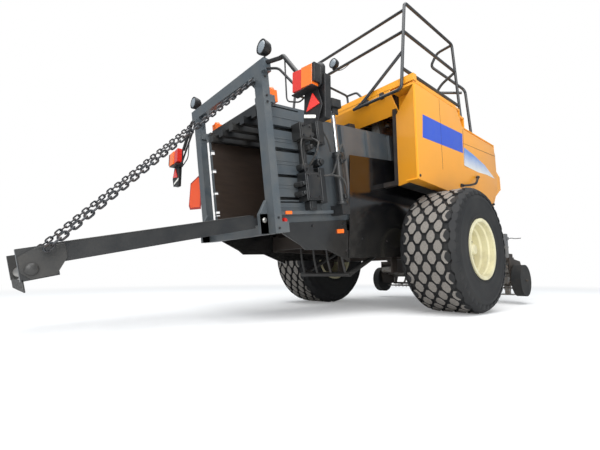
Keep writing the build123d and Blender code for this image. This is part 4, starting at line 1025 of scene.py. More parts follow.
for side, hand in SIDES:
    rail = bmesh.new()
    y = side * RAIL_Y
    pipe(rail, [(RAIL_FOOT_X, y - side * 0.62, UNDER_LIP_Z), (RAIL_FOOT_X, y, UNDER_LIP_Z),
                (RAIL_REAR_X, y, RAIL_TOP_Z), (RAIL_FRONT_X, y, RAIL_TOP_Z), (post_x(2.3), y, 2.3)],
         RAIL_RADIUS, RAIL_BEND)
    for z in (RAIL_MID_Z, RAIL_LOW_Z):
        pipe(rail, [(corner_x(z), y, z), (post_x(z), y, z)], RAIL_RADIUS)
    pipe(rail, [(0.5, y - side * 0.006, 3.219), (0.5, y - side * 0.196, 3.205),
                (0.512, y - side * 0.296, 3.074), (0.8, y, 2.723), (0.905, y, 2.105)], RAIL_RADIUS, RAIL_BEND)
    pipe(rail, [(post_x(RAIL_MID_Z), y - side * 0.004, RAIL_MID_Z), (0.548, y - side * 0.18, 2.79),
                (0.548, y - side * 0.258, 2.704), (0.705, y, 2.655)], RAIL_RADIUS, RAIL_BEND)
    pipe(rail, [(corner_x(BRACE_TOP_Z), y - side * 0.005, BRACE_TOP_Z),
                (RAIL_FOOT_X, y - side * 0.5, UNDER_LIP_Z + 0.03),
                (RAIL_FOOT_X, y - side * 0.6, UNDER_LIP_Z)], RAIL_RADIUS, RAIL_BEND)
    for reach in (0.25, 0.45):
        spot = y - side * reach
        block(rail, (RAIL_FOOT_X, spot - 0.02, UNDER_LIP_Z - 0.005),
              (ROOF_REAR_X, spot + 0.02, LIP_LOW_Z + 0.02))
    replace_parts(finish_piece(f"bent_rail_{hand}", rail, "satin black rail paint"), f"handrail_{hand}")

rear = bmesh.new()
for z in (RAIL_TOP_Z - 0.09, RAIL_MID_Z):
    pipe(rear, [(corner_x(z), -RAIL_Y + RAIL_RADIUS, z), (corner_x(z), RAIL_Y - RAIL_RADIUS, z)], RAIL_RADIUS)
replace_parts(finish_piece("bent_rail_rear", rear, "satin black rail paint"), "handrail_rear")
print("rails", round(RAIL_TOP_Z - DECK_TOP_Z, 3), "above the deck")

# %% [markdown]
# ## Rear lamps
# A lamp block hangs on a bent arm at each end of the beam: red inside, amber outside, with a red
# triangle and a white strip on a plate below. The block is a case of thin plates with the lenses set
# into it as a piece of their own, so that light and colour stop at the case's edge. The left side is
# made and copied to the right.

# %% Lamp clusters
CLUSTER_X, CLUSTER_DEPTH = -2.132, 0.058
LAMP_INNER, LAMP_SPLIT, LAMP_OUTER, LAMP_LOW, LAMP_HIGH = 0.965, LENS_SPLIT_Y, 1.165, 1.57, 1.735
BEAM_END_Y, BEAM_U, BEAM_W = 0.625, -0.04, 1.1975
ARM_RADIUS, ARM_BEND, BRACE_RADIUS, WIRE_RADIUS, WIRE_BEND = 0.017, 0.05, 0.01, 0.006, 0.04
CASE_WALL, SPLIT_GAP = 0.022, 0.002
# Seen from behind, across and up: the plate below the lenses, and the triangle and strip on it
LOWER_PLATE = [(1.031, LAMP_LOW + 0.001), (1.021, 1.35), (1.16, 1.345), (1.197, 1.44),
               (1.155, LAMP_LOW + 0.001)]
RED_TRIANGLE = [(1.056, 1.435), (1.179, 1.45), (1.115, 1.543)]
WHITE_STRIP = [(1.03, 1.40), (1.14, 1.364), (1.14, 1.387), (1.03, 1.425)]
# The round-topped box on the column, as the profile that is turned
ROUND_BOX = [(0, 0), (0.032, 0), (0.036, 0.01), (0.036, 0.05), (0.03, 0.066), (0, 0.07)]
beam_place = on_chamber(BEAM_U, 0, BEAM_W)
beam_x, beam_z = beam_place.x - AXLE_X, beam_place.z

arm_x, wire_x, back_x = CLUSTER_X + ARM_RADIUS + 0.001, CLUSTER_X + 0.012, CLUSTER_X - CLUSTER_DEPTH
case_y = LAMP_OUTER + CASE_WALL
clusters = bmesh.new()
pipe(clusters, [(beam_x, BEAM_END_Y - 0.01, beam_z + 0.02), (arm_x, 0.74, beam_z + 0.012),
                (arm_x, 0.78, beam_z + 0.01), (arm_x, 0.975, LAMP_HIGH - 0.01)], ARM_RADIUS, ARM_BEND)
pipe(clusters, [(beam_x, BEAM_END_Y - 0.01, beam_z - 0.03), (arm_x, 0.72, beam_z - 0.06),
                (arm_x, 0.985, LAMP_LOW + 0.04)], BRACE_RADIUS, WIRE_BEND)
rear_plate(clusters, [(LAMP_INNER, LAMP_LOW + 0.02), (LAMP_OUTER, LAMP_LOW), (case_y, LAMP_LOW + 0.015),
                      (case_y, LAMP_HIGH - 0.025), (LAMP_INNER, LAMP_HIGH)], CLUSTER_X, CLUSTER_X + 0.016)
block(clusters, (back_x, LAMP_OUTER, LAMP_LOW + 0.015), (CLUSTER_X + 0.001, case_y, LAMP_HIGH - 0.025))
block(clusters, (back_x, LAMP_INNER, LAMP_LOW - 0.008), (CLUSTER_X + 0.001, LAMP_OUTER, LAMP_LOW))
rear_plate(clusters, LOWER_PLATE, CLUSTER_X, CLUSTER_X + 0.008)
# The square column behind the block, its round-topped box and the thin guard wires round the block
block(clusters, (CLUSTER_X + 0.02, 1.13, 1.36), (CLUSTER_X + 0.075, 1.205, 1.655))
lathe(clusters, ROUND_BOX, at(CLUSTER_X + 0.045, 1.135, 1.685), (0, 0, 1), 20)
block(clusters, (CLUSTER_X + 0.015, 1.10, 1.58), (CLUSTER_X + 0.075, 1.165, 1.69))
pipe(clusters, [(wire_x, 0.80, beam_z + 0.005), (wire_x, 0.83, 1.60), (wire_x, 0.97, 1.54),
                (wire_x, 1.03, 1.56)], WIRE_RADIUS, WIRE_BEND, 8)
both_sides(clusters)
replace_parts(finish_piece("lamp_arms_and_blocks", clusters, "black lamp plastic", bevel=0.002),
            "lamp_clusters")

# The lamps' two lenses, the triangle and the strip
lenses = bmesh.new()
rear_plate(lenses, [(LAMP_INNER, LAMP_LOW + 0.02), (LAMP_SPLIT - SPLIT_GAP, LAMP_LOW + 0.008),
                    (LAMP_SPLIT - SPLIT_GAP, LAMP_HIGH - 0.014), (LAMP_INNER, LAMP_HIGH)],
           back_x + 0.008, CLUSTER_X)
rear_plate(lenses, [(LAMP_SPLIT + SPLIT_GAP, LAMP_LOW + 0.008), (LAMP_OUTER, LAMP_LOW),
                    (LAMP_OUTER, LAMP_HIGH - 0.026), (LAMP_SPLIT + SPLIT_GAP, LAMP_HIGH - 0.014)],
           back_x, CLUSTER_X)
rear_plate(lenses, RED_TRIANGLE, CLUSTER_X - 0.008, CLUSTER_X)
rear_plate(lenses, WHITE_STRIP, CLUSTER_X - 0.004, CLUSTER_X)
both_sides(lenses)
finish_piece("lamp_lenses", lenses, "two colour lamp lens", bevel=0.004)
print("lamp blocks from", LAMP_LOW, "to", LAMP_HIGH)

# %% [markdown]
# ## Warning board, work lamps and markers
# The board on the left post is blank orange plastic with a dark red border, which is a larger plate
# behind a smaller one. Round work lamps stand on the beam's ends and on the rear rail. They are turned,
# because case, bezel and glass are round. Amber markers and round red reflectors sit on the walls.

# %% Warning board, work lamps and side markers
BOARD_X, POST_OUTER_Y = -2.056, 0.585
BEAM_LAMP_Y, BEAM_LAMP_W, BEAM_LAMP_LIFT = 0.60, 1.245, 0.095
RAIL_LAMP_Y, RAIL_LAMP_LIFT, LAMP_BACK = 0.1, 0.085, 0.03
BOARD_THICKNESS, FACE_THICKNESS, BOARD_INSET = 0.005, 0.0012, (0.86, 0.88)
board = [(0.62, 1.03), (0.87, 1.055), (0.905, 1.10), (0.885, 1.345), (0.70, 1.39), (0.62, 1.37)]
middle_y = sum(y for y, z in board) / len(board)
middle_z = sum(z for y, z in board) / len(board)
face = bmesh.new()
rear_plate(face, board, BOARD_X, BOARD_X + BOARD_THICKNESS)
# The strap that holds the board to the post
block(face, (BOARD_X + BOARD_THICKNESS, POST_OUTER_Y - 0.005, 1.15), (BOARD_X + 0.012, 0.68, 1.19))
finish_piece("warning_board", face, "dark red border tape", bevel=0.001)
panel = bmesh.new()
inset = [(middle_y + (y - middle_y) * BOARD_INSET[0], middle_z + (z - middle_z) * BOARD_INSET[1])
         for y, z in board]
rear_plate(panel, inset, BOARD_X - FACE_THICKNESS, BOARD_X)
finish_piece("warning_board_face", panel, "orange board plastic")

LAMP_CASE = [(0, 0.07), (0.028, 0.07), (0.05, 0.05), (0.058, 0.02), (0.0605, 0.0), (0.0605, -0.012),
             (0.053, -0.014), (0.053, -0.006), (0, -0.004)]
LAMP_GLASS = [(0, -0.0045), (0.0525, -0.0055), (0.045, -0.013), (0.03, -0.018), (0, -0.021)]


def work_lamp(cases, glasses, x, y, z, foot_z):
    """A round lamp facing rearward: a deep case with a bezel, its glass and its stem."""
    lathe(cases, LAMP_CASE, at(x, y, z), (1, 0, 0), 28)
    lathe(glasses, LAMP_GLASS, at(x, y, z), (1, 0, 0), 28)
    pipe(cases, [(x + 0.03, y, z - 0.03), (x + 0.02, y, foot_z)], 0.008)
    block(cases, (x, y - 0.02, foot_z), (x + 0.04, y + 0.02, foot_z + 0.012))


cases, glasses = bmesh.new(), bmesh.new()
lamp_z = on_chamber(BEAM_U, 0, BEAM_LAMP_W).z
for side in (1, -1):
    work_lamp(cases, glasses, beam_x - LAMP_BACK, side * BEAM_LAMP_Y, lamp_z + BEAM_LAMP_LIFT, lamp_z - 0.006)
work_lamp(cases, glasses, corner_x(RAIL_MID_Z) - LAMP_BACK, RAIL_LAMP_Y, RAIL_MID_Z + RAIL_LAMP_LIFT,
          RAIL_MID_Z + 0.012)
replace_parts(finish_piece("work_lamp_cases", cases, "black lamp plastic"), "work_lamps")
finish_piece("work_lamp_glasses", glasses, "clear lamp glass")

MARKER_DOME = [(0, 0), (0.03, 0), (0.029, 0.012), (0.022, 0.026), (0, 0.032)]
ROUND_REFLECTOR = [(0, 0), (0.022, 0), (0.022, 0.03), (0.016, 0.042), (0, 0.046)]
markers, reds = bmesh.new(), bmesh.new()
block(markers, (0.1, 0.5, 0.052), (0.165, 0.514, 0.078), on_chamber)
block(markers, (0.70, 0.487, -0.134), (0.785, 0.501, -0.096), on_chamber)
dome = on_chamber(0.11, 0.455, 1.088)
lathe(markers, MARKER_DOME, dome, (-0.13, 0, 0.99), 20)
block(markers, (0.07, 0.422, 0.99), (0.15, 0.488, 1.09), on_chamber)
lathe(reds, ROUND_REFLECTOR, on_chamber(0.1, 0.46, 0.006), (0, 1, 0), 20)
both_sides(markers)
both_sides(reds)
finish_piece("side_marker_lamps", markers, "amber lamp lens", bevel=0.002)
finish_piece("round_red_reflectors", reds, "red reflector plastic")
print("work lamps at heights", round(lamp_z + BEAM_LAMP_LIFT, 3), "and",
      round(RAIL_MID_Z + RAIL_LAMP_LIFT, 3))

# %% [markdown]
# ## What hangs on the chamber's walls
# Outside the slotted walls stand a ledge, valve boxes with raised lids, round pots, and the density
# cylinders with their glands and ports. Thin ribs are pressed between the slots, and a sheet hangs
# below. The posts have corner knees and gussets. The photo shows this mechanism only as dark shapes,
# so the sizes of its parts are guesses. They are plain blocks and turned pots, which is what the dark
# shapes look like from behind.

# %% Wall furniture
WALL_FACE = 0.46
# Each box: from and to along the chamber, from and to above its floor, and its depth
WALL_BOXES = [(0.30, 0.47, 0.16, 0.40, 0.11), (0.36, 0.44, 0.08, 0.47, 0.07),
              (0.485, 0.56, 0.14, 0.45, 0.085), (0.29, 0.43, 0.68, 0.82, 0.11),
              (0.345, 0.395, 0.46, 0.70, 0.05), (0.50, 0.59, 0.66, 0.90, 0.095),
              (0.80, 0.858, 0.10, 0.62, 0.08)]
# Each pot: its place along and above, its radius and its depth
WALL_POTS = [(0.335, 0.45, 0.033, 0.10), (0.405, 0.62, 0.028, 0.12), (0.52, 0.50, 0.036, 0.11),
             (0.455, 0.74, 0.03, 0.09), (0.275, 0.30, 0.024, 0.12), (0.275, 0.22, 0.024, 0.12)]
LID_EDGE, LID_LIFT = 0.014, 0.006
RIB_HEIGHTS = (0.87, 0.69, 0.66, 0.50, 0.47, 0.30, 0.27, 0.11)
# The density cylinder's place along and across, and where its two glands lie above the floor
CYLINDER_U, CYLINDER_Y = 0.73, 0.56
GLANDS = ((0.554, 0.583), (0.12, 0.15))
CYLINDER_RADIUS, GLAND_RADIUS, GLAND_EDGE = 0.0445, 0.052, 0.003
PORT_NEAR, PORT_FAR, PORT_HEIGHTS, PORT_SIZE = (0.71, 0.58), (0.75, 0.625), (0.17, 0.49), 0.04
# The ledge, the ribs and the upright strips that end them: where each strip stands, and its top
LEDGE_FROM, LEDGE_TO, LEDGE_DEPTH = (0.06, 0.05), (0.672, 0.08), 0.04
RIB_FROM, RIB_TO, RIB_DEPTH, RIB_WIDTH = 0.02, 0.56, 0.0035, 0.007
EDGE_STRIPS, EDGE_WIDTH, EDGE_DEPTH = ((0.006, 0.98), (0.556, 0.92)), 0.01, 0.006
SHEET_SINK, POT_NECK = 0.002, 0.7
# The knee under the beam across and up, the post's gusset and the hanging sheet along and up
BEAM_KNEE = [(0.485, 1.15), (0.485, 1.03), (0.375, 1.15)]
POST_GUSSET = [(-0.15, -0.095), (-0.075, -0.095), (-0.075, 0.17), (-0.15, 0.06)]
APRON = [(0.06, -0.014), (0.06, -0.095), (0.242, -0.203), (0.293, -0.249), (0.555, -0.272),
         (0.845, -0.41), (0.845, -0.014)]

boxes = bmesh.new()
for u0, u1, w0, w1, depth in WALL_BOXES:
    block(boxes, (u0, WALL_FACE, w0), (u1, WALL_FACE + depth, w1), on_chamber)
    block(boxes, (u0 + LID_EDGE, WALL_FACE + depth, w0 + LID_EDGE),
          (u1 - LID_EDGE, WALL_FACE + depth + LID_LIFT, w1 - LID_EDGE), on_chamber)
for u, w, radius, depth in WALL_POTS:
    lathe(boxes, [(0, 0), (radius, 0), (radius, depth - 0.03), (radius * POT_NECK, depth - 0.02),
                  (radius * POT_NECK, depth), (0, depth)],
          on_chamber(u, WALL_FACE, w), (0, 1, 0), 20)
both_sides(boxes)
finish_piece("wall_boxes", boxes, "black mechanism paint", bevel=0.003)

trim = bmesh.new()
block(trim, (LEDGE_FROM[0], WALL_FACE, LEDGE_FROM[1]), (LEDGE_TO[0], WALL_FACE + LEDGE_DEPTH, LEDGE_TO[1]),
      on_chamber)
for w in RIB_HEIGHTS:
    block(trim, (RIB_FROM, WALL_FACE - SHEET_SINK, w), (RIB_TO, WALL_FACE + RIB_DEPTH, w + RIB_WIDTH),
          on_chamber)
for u, top in EDGE_STRIPS:
    block(trim, (u, WALL_FACE - SHEET_SINK, 0.0), (u + EDGE_WIDTH, WALL_FACE + EDGE_DEPTH, top), on_chamber)
rear_plate(trim, BEAM_KNEE, -0.046, -0.034, on_chamber)
side_plate(trim, POST_GUSSET, 0.465, 0.5, on_chamber)
both_sides(trim)
finish_piece("wall_ledges_and_knees", trim, "satin black machine paint with painted sky sheen", bevel=0.0015)

# The slots in the CAD walls are closed near their inner face: brown to the bales, and black outside, where
# the black is painted shade that fills the slots' depth.
# Each slot: its middle height, its height and where it ends along the chamber
WALL_SLOTS = [(0.958, 0.012, 0.39), (0.783, 0.042, 0.382), (0.598, 0.034, 0.55), (0.378, 0.026, 0.34),
              (0.189, 0.026, 0.37), (0.158, 0.012, 0.34)]
SLOT_START = 0.03
# The backs' black is painted shade in the slots, and the liners' brown is rubbed steel
for name, near, far, finish in (("slot_liners", 0.4102, 0.4132, "rubbed chamber paint with painted sky sheen"),
                                ("slot_shade_backs", 0.4134, 0.4164, "black mechanism paint")):
    liners = bmesh.new()
    for centre, height, end in WALL_SLOTS:
        block(liners, (SLOT_START, near, centre - height / 2), (end, far, centre + height / 2), on_chamber)
    both_sides(liners)
    finish_piece(name, liners, finish)

aprons = bmesh.new()
side_plate(aprons, APRON, 0.476, 0.486, on_chamber)
both_sides(aprons)
finish_piece("side_aprons", aprons, "gloss black sheet paint", bevel=0.001)

barrels = bmesh.new()
for low_w, high_w in GLANDS:
    lathe(barrels, [(CYLINDER_RADIUS, 0), (GLAND_RADIUS, GLAND_EDGE),
                    (GLAND_RADIUS, high_w - low_w - GLAND_EDGE), (CYLINDER_RADIUS, high_w - low_w)],
          on_chamber(CYLINDER_U, CYLINDER_Y, low_w),
          on_chamber(CYLINDER_U, CYLINDER_Y, 1) - on_chamber(CYLINDER_U, CYLINDER_Y, 0), 28)
for w in PORT_HEIGHTS:
    block(barrels, (*PORT_NEAR, w), (*PORT_FAR, w + PORT_SIZE), on_chamber)
both_sides(barrels)
finish_piece("cylinder_glands_and_ports", barrels, "black mechanism paint", bevel=0.002)
print(len(WALL_BOXES), "boxes and", len(WALL_POTS), "pots on each wall")

# %% [markdown]
# ## Hoses
# Hoses feed the two cylinders and the valve boxes, and a cable hangs from the lamp on the rear rail.
# They could be curves with a thickness. They are short and fixed at both ends, so the pipe helper that
# made the rails makes them too, and they stay on the wall.

# %% Hoses and cables
HOSE_BEND = 0.05
# Each hose: its radius and its corners on the chamber
HOSE_LINES = [
    (0.0085, [(0.73, 0.62, 0.19), (0.73, 0.64, 0.19), (0.70, 0.64, 0.35), (0.60, 0.60, 0.38),
              (0.54, 0.54, 0.38)]),
    (0.0085, [(0.73, 0.62, 0.51), (0.73, 0.66, 0.51), (0.70, 0.66, 0.67), (0.60, 0.60, 0.38),
              (0.54, 0.54, 0.38)]),
    (0.0085, [(0.42, 0.56, 0.70), (0.46, 0.61, 0.66), (0.40, 0.62, 0.54), (0.40, 0.52, 0.46)]),
    (0.007, [(0.31, 0.56, 0.69), (0.25, 0.60, 0.60), (0.25, 0.61, 0.44), (0.33, 0.56, 0.36)]),
    (0.0085, [(0.70, 0.515, 0.62), (0.66, 0.53, 0.72), (0.60, 0.53, 0.80), (0.57, 0.53, 0.86)]),
]
hoses = bmesh.new()
for radius, line in HOSE_LINES:
    pipe(hoses, line, radius, HOSE_BEND, 8, place=on_chamber)
both_sides(hoses)
lamp_foot = RAIL_MID_Z + 0.03
pipe(hoses, [(corner_x(RAIL_MID_Z) + 0.01, 0.1, lamp_foot + 0.03),
             (corner_x(RAIL_MID_Z) - 0.03, 0.05, lamp_foot - 0.07),
             (corner_x(RAIL_MID_Z) - 0.03, -0.06, lamp_foot - 0.1),
             (corner_x(RAIL_MID_Z), -0.16, RAIL_MID_Z - 0.01)],
     0.0045, HOSE_BEND, 6)
finish_piece("hydraulic_hoses", hoses, "grey moulded plastic")
print(len(HOSE_LINES), "hoses on each side and one cable")

# %% [markdown]
# ## Bolts
# Bolt heads stand where plates are bolted: on the boxes' lids, up the posts, along the hanging sheets
# and on the side members. Each point carries the way its bolt faces, and a node tree sets a head on
# it, so a further bolt is one more point. Round caps cover the pins of the chute's hinge.

# %% Bolts
BOLT_RADIUS, BOLT_HEIGHT = 0.009, 0.012
APRON_BOLT_Y, MEMBER_BOLT_Y, MEMBER_BOLT_Z = 0.489, 0.503, 0.72


def bolts(name, points, finish):
    """Hexagon heads at (place, facing) pairs, all in one piece."""
    mesh = bpy.data.meshes.new(name)
    mesh.from_pydata([place for place, facing in points], [], [])
    turns = mesh.attributes.new("facing", "FLOAT_VECTOR", "POINT")
    for index, (place, facing) in enumerate(points):
        turns.data[index].vector = Vector(facing).to_track_quat("Z", "Y").to_euler()
    values = {"Radius": BOLT_RADIUS, "Height": BOLT_HEIGHT, "Finish": finishes[finish]}
    finish_piece(name, grow(mesh, bolt_tree, values), finish)


points = []
for side in (1, -1):
    out = (0, side, 0)
    for u0, u1, w0, w1, depth in WALL_BOXES:
        if u1 - u0 > 0.1:
            y = side * (WALL_FACE + depth + LID_LIFT + 0.003)
            points += [(on_chamber(u, y, w), out) for u in (u0 + 0.03, u1 - 0.03)
                       for w in (w0 + 0.03, w1 - 0.03)]
    points += [(on_chamber(-0.04, side * (POST_OUTER_Y + 0.003), w), out)
               for w in (-0.06, 0.02, 0.92, 0.97, 1.12)]
    points += [(on_chamber(u, side * APRON_BOLT_Y, w), out)
               for u, w in ((0.1, -0.05), (0.4, -0.05), (0.8, -0.05), (0.8, -0.3))]
    points += [(at(x, side * MEMBER_BOLT_Y, MEMBER_BOLT_Z), out) for x in (-0.9, -0.5, 0.4, 0.9)]
bolts("wall_bolts", points, "dark chain steel")
hinge = bmesh.new()
for side in (1, -1):
    lathe(hinge, [(0, 0), (0.021, 0), (0.021, 0.012), (0.012, 0.02), (0, 0.02)],
          at(CHUTE_HINGE[0], side * 0.5, CHUTE_HINGE[1]), (0, side, 0), 20)
finish_piece("chute_hinge_bolts", hinge, "zinc plated bolt")
print(len(points), "bolt heads")

# %% [markdown]
# ## Needles
# The needles swing about a pivot between the side frames and are parked with their tips just under
# the chamber's floor. Each is an arc about that pivot, so it can rise through the bale to its knotter.
# A pipe through places on one circle makes it. The photo hides them, so their number is a guess.

# %% Needles
NEEDLE_PIVOT, NEEDLE_REACH = (-0.23, 0.70), 0.76
CROSS_BAR_ANGLE, NEEDLE_STEP_ANGLE, NEEDLE_STEPS = 205, 3.7, 9
ARM_Y, BAR_RADIUS, NEEDLE_RADIUS = 0.34, 0.025, 0.013


def needle_place(degrees, y):
    """A place on the needles' circle, given from the axle."""
    angle = math.radians(degrees)
    return (NEEDLE_PIVOT[0] + NEEDLE_REACH * math.cos(angle), y,
            NEEDLE_PIVOT[1] + NEEDLE_REACH * math.sin(angle))


needles = bmesh.new()
pivot_x, pivot_z = NEEDLE_PIVOT
pipe(needles, [(pivot_x, -0.38, pivot_z), (pivot_x, 0.38, pivot_z)], BAR_RADIUS)
pipe(needles, [needle_place(CROSS_BAR_ANGLE, -0.36), needle_place(CROSS_BAR_ANGLE, 0.36)], BAR_RADIUS)
for y in (-ARM_Y, ARM_Y):
    pipe(needles, [(pivot_x, y, pivot_z), needle_place(CROSS_BAR_ANGLE, y)], BAR_RADIUS)
for y in (-0.3, -0.1, 0.1, 0.3):
    arc = [needle_place(CROSS_BAR_ANGLE - NEEDLE_STEP_ANGLE * step, y) for step in range(NEEDLE_STEPS)]
    pipe(needles, arc, NEEDLE_RADIUS)
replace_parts(finish_piece("curved_needles", needles, "black mechanism paint"), "needle_yoke")
print("needles reach", NEEDLE_REACH, "from their pivot")

# %% [markdown]
# ## Chute
# The chute's side channels end in deep cheeks that carry the roller, with a comb of short strips
# below the end, and a flat strip lies along the top of each channel. The strips of the comb are alike
# and evenly spaced, so a loop makes them. The photo shows this end dented, and it is made straight.

# %% Chute's end
CHUTE_LENGTH, CHUTE_HALF_WIDTH, CHUTE_END_LOW = 1.49, 0.46, -0.115
COMB_TEETH, TOOTH_SPACING, TOOTH_HALF_WIDTH, CHEEK_THICKNESS = 11, 0.0896, 0.012, 0.012
TOOTH_LOW, TOOTH_HIGH = CHUTE_END_LOW - 0.055, CHUTE_END_LOW + 0.01
CHEEK = [(CHUTE_LENGTH - 0.004, -0.07), (CHUTE_LENGTH - 0.004, 0.01), (1.40, 0.046), (1.28, 0.046),
         (1.28, -0.03), (1.34, -0.11), (1.45, -0.11)]
ROLLER_CAP = [(0, 0), (0.03, 0), (0.03, 0.012), (0.018, 0.018), (0, 0.018)]

comb = bmesh.new()
for tooth in range(COMB_TEETH):
    y = -0.448 + tooth * TOOTH_SPACING
    block(comb, (CHUTE_LENGTH - 0.012, y - TOOTH_HALF_WIDTH, TOOTH_LOW),
          (CHUTE_LENGTH - 0.004, y + TOOTH_HALF_WIDTH, TOOTH_HIGH), on_chute)
for side in (1, -1):
    y0, y1 = sorted((side * CHUTE_HALF_WIDTH, side * (CHUTE_HALF_WIDTH + CHEEK_THICKNESS)))
    side_plate(comb, CHEEK, y0, y1, on_chute)
    lathe(comb, ROLLER_CAP, on_chute(1.44, side * 0.472, -0.06), (0, side, 0), 20)
    y0, y1 = sorted((side * 0.40, side * 0.464))
    side_plate(comb, [(0.09, 0.05), (1.33, 0.05), (1.33, 0.056), (0.09, 0.056)], y0, y1, on_chute)
finish_piece("chute_end_comb", comb, "black mechanism paint", "chute", bevel=0.0015)
print("comb of", COMB_TEETH, "strips")

# %% [markdown]
# ## Front end
# The drive shaft lies in its plastic guard, parked on a stand on the tongue, and is turned about the
# line between its ends. The jack has a bent crank, and the hoses' plugs are parked on a post. The
# photo hides all of this, so it follows common machines of this class.

# %% Drive shaft, jack and hose stand
SHAFT_REAR, SHAFT_FRONT = (2.5, 1.325), (4.14, 0.944)
shaft_line = at(SHAFT_FRONT[0], 0, SHAFT_FRONT[1]) - at(SHAFT_REAR[0], 0, SHAFT_REAR[1])
shaft_way, shaft_length = shaft_line.normalized(), shaft_line.length
YOKE = [(0, -0.02), (0.036, -0.02), (0.036, 0.05), (0.03, 0.055), (0.03, 0.12), (0.018, 0.12), (0.018, 0.02),
        (0, 0.02)]
PLUG = [(0, 0), (0.017, 0), (0.017, 0.045), (0.0119, 0.05), (0.0119, 0.085), (0.008, 0.09), (0, 0.09)]
# The guard's bell, from its lip to the tube. The same bell closes both ends
BELL = [(0.075, 0), (0.078, 0.03), (0.06, 0.1), (0.048, 0.12)]
STAND_X, STAND_HALF, TONGUE_TOP_Z = 3.96, 0.07, 0.79
POST_REAR_X, POST_FRONT_X, POST_TOP_Z = 3.56, 3.61, 1.23
PLUG_COUNT, PLUG_SPACING, PLUG_Y, PLUG_Z = 4, 0.09, -0.05, 1.2
JACK_PLACE, CRANK_RADIUS, CRANK_BEND = (3.82, -0.15, 1.06), 0.009, 0.02
GUARD_PLACE = at(SHAFT_REAR[0] + 0.12, 0, SHAFT_REAR[1] - 0.028)
guard = bmesh.new()
far_bell = [(radius, shaft_length - along) for radius, along in reversed(BELL)]
lathe(guard, [(0, 0)] + BELL + far_bell + [(0, shaft_length)], GUARD_PLACE, shaft_way, 36)
finish_piece("drive_shaft_guard", guard, "black lamp plastic")
yoke = bmesh.new()
lathe(yoke, YOKE, GUARD_PLACE + shaft_way * shaft_length, shaft_way, 28)
finish_piece("drive_shaft_yoke", yoke, "worn steel")

stands = bmesh.new()
drop = (STAND_X - SHAFT_REAR[0]) * (SHAFT_REAR[1] - SHAFT_FRONT[1])
stand_z = SHAFT_REAR[1] - drop / (SHAFT_FRONT[0] - SHAFT_REAR[0])
rear_plate(stands, [(-STAND_HALF, TONGUE_TOP_Z), (STAND_HALF, TONGUE_TOP_Z), (STAND_HALF, stand_z),
                    (0.05, stand_z), (0.035, stand_z - 0.055), (-0.035, stand_z - 0.055), (-0.05, stand_z),
                    (-STAND_HALF, stand_z)], STAND_X, 3.99)
block(stands, (3.92, -STAND_HALF, TONGUE_TOP_Z), (4.03, STAND_HALF, 0.802))
# The hoses' post and the bar across its top, which holds the plugs
block(stands, (POST_REAR_X, -0.094, 0.789), (POST_FRONT_X, -0.066, POST_TOP_Z))
block(stands, (POST_REAR_X, -0.094, 1.17), (POST_FRONT_X, 0.236, POST_TOP_Z))
finish_piece("shaft_and_hose_stands", stands, "dark chassis paint", bevel=0.002)
plugs = bmesh.new()
for plug in range(PLUG_COUNT):
    lathe(plugs, PLUG, at(POST_FRONT_X, PLUG_Y + plug * PLUG_SPACING, PLUG_Z), (1, 0, 0), 20)
finish_piece("hose_plugs", plugs, "worn steel")
crank = bmesh.new()
jack_x, jack_y, jack_z = JACK_PLACE
block(crank, (jack_x - 0.03, jack_y - 0.075, jack_z - 0.03), (jack_x + 0.03, jack_y - 0.05, jack_z + 0.03))
pipe(crank, [(jack_x, jack_y - 0.06, jack_z), (jack_x, jack_y - 0.14, jack_z),
             (jack_x + 0.14, jack_y - 0.14, jack_z), (jack_x + 0.14, jack_y - 0.25, jack_z)],
     CRANK_RADIUS, CRANK_BEND)
finish_piece("jack_crank", crank, "grey machine paint", bevel=0.002)
print("drive shaft's guard is", round(shaft_length, 3), "long")

# %% [markdown]
# ## Pickup strips
# The pickup's tines pass between strips of bent sheet, which strip the straw off them. A strip is a
# half circle with two straight ends, laid as short plates between an inner and an outer line, and a
# loop sets one in each gap between the rows of tines. The tines' tips reach out beyond the strips, and
# the two bars that join the strips' ends lie outside the circle of the tips.

# %% Pickup strips
REEL_PLACE = (1.79, 0.385)
PICKUP_HALF_WIDTH, STRIP_MARGIN, STRIP_COUNT = 0.982, 0.07, 13
STRIP_RADIUS, STRIP_THICKNESS, STRIP_REACH, STRIP_WIDTH = 0.174, 0.004, 0.19, 0.04
CROSS_BAR_RADIUS, CROSS_BAR_HALF = 0.011, 0.99
strips = bmesh.new()
spacing = 2 * (PICKUP_HALF_WIDTH - STRIP_MARGIN) / STRIP_COUNT
for gap in range(STRIP_COUNT):
    y = -PICKUP_HALF_WIDTH + STRIP_MARGIN + (gap + 0.5) * spacing
    line = [(-STRIP_REACH, STRIP_RADIUS)]
    line += [(STRIP_RADIUS * math.sin(a), STRIP_RADIUS * math.cos(a))
             for a in (math.pi * k / 10 for k in range(11))]
    line += [(-STRIP_REACH, -STRIP_RADIUS)]
    scale = (STRIP_RADIUS + STRIP_THICKNESS) / STRIP_RADIUS
    outside = [(x if x == -STRIP_REACH else x * scale, z * scale) for x, z in line]
    for (a, b), (c, d) in zip(zip(line, line[1:]), zip(outside, outside[1:])):
        corners = [at(REEL_PLACE[0] + x, y - STRIP_WIDTH / 2, REEL_PLACE[1] + z) for x, z in (a, b, d, c)]
        prism(strips, corners, (0, STRIP_WIDTH, 0))
bar_x = REEL_PLACE[0] - STRIP_REACH + 0.01
for level in (-1, 1):
    bar_z = REEL_PLACE[1] + level * (STRIP_RADIUS + 0.012)
    pipe(strips, [(bar_x, -CROSS_BAR_HALF, bar_z), (bar_x, CROSS_BAR_HALF, bar_z)], CROSS_BAR_RADIUS)
finish_piece("pickup_strips", strips, "worn steel", "pickup", sharp=50.0)
print(STRIP_COUNT, "strips", round(spacing, 4), "apart")

# %% [markdown]
# ## Floor and background
# The machine stands on a pale floor that keeps its soft shadow. What the camera sees of the floor
# brightens with distance until it meets the white background, so no horizon shows.

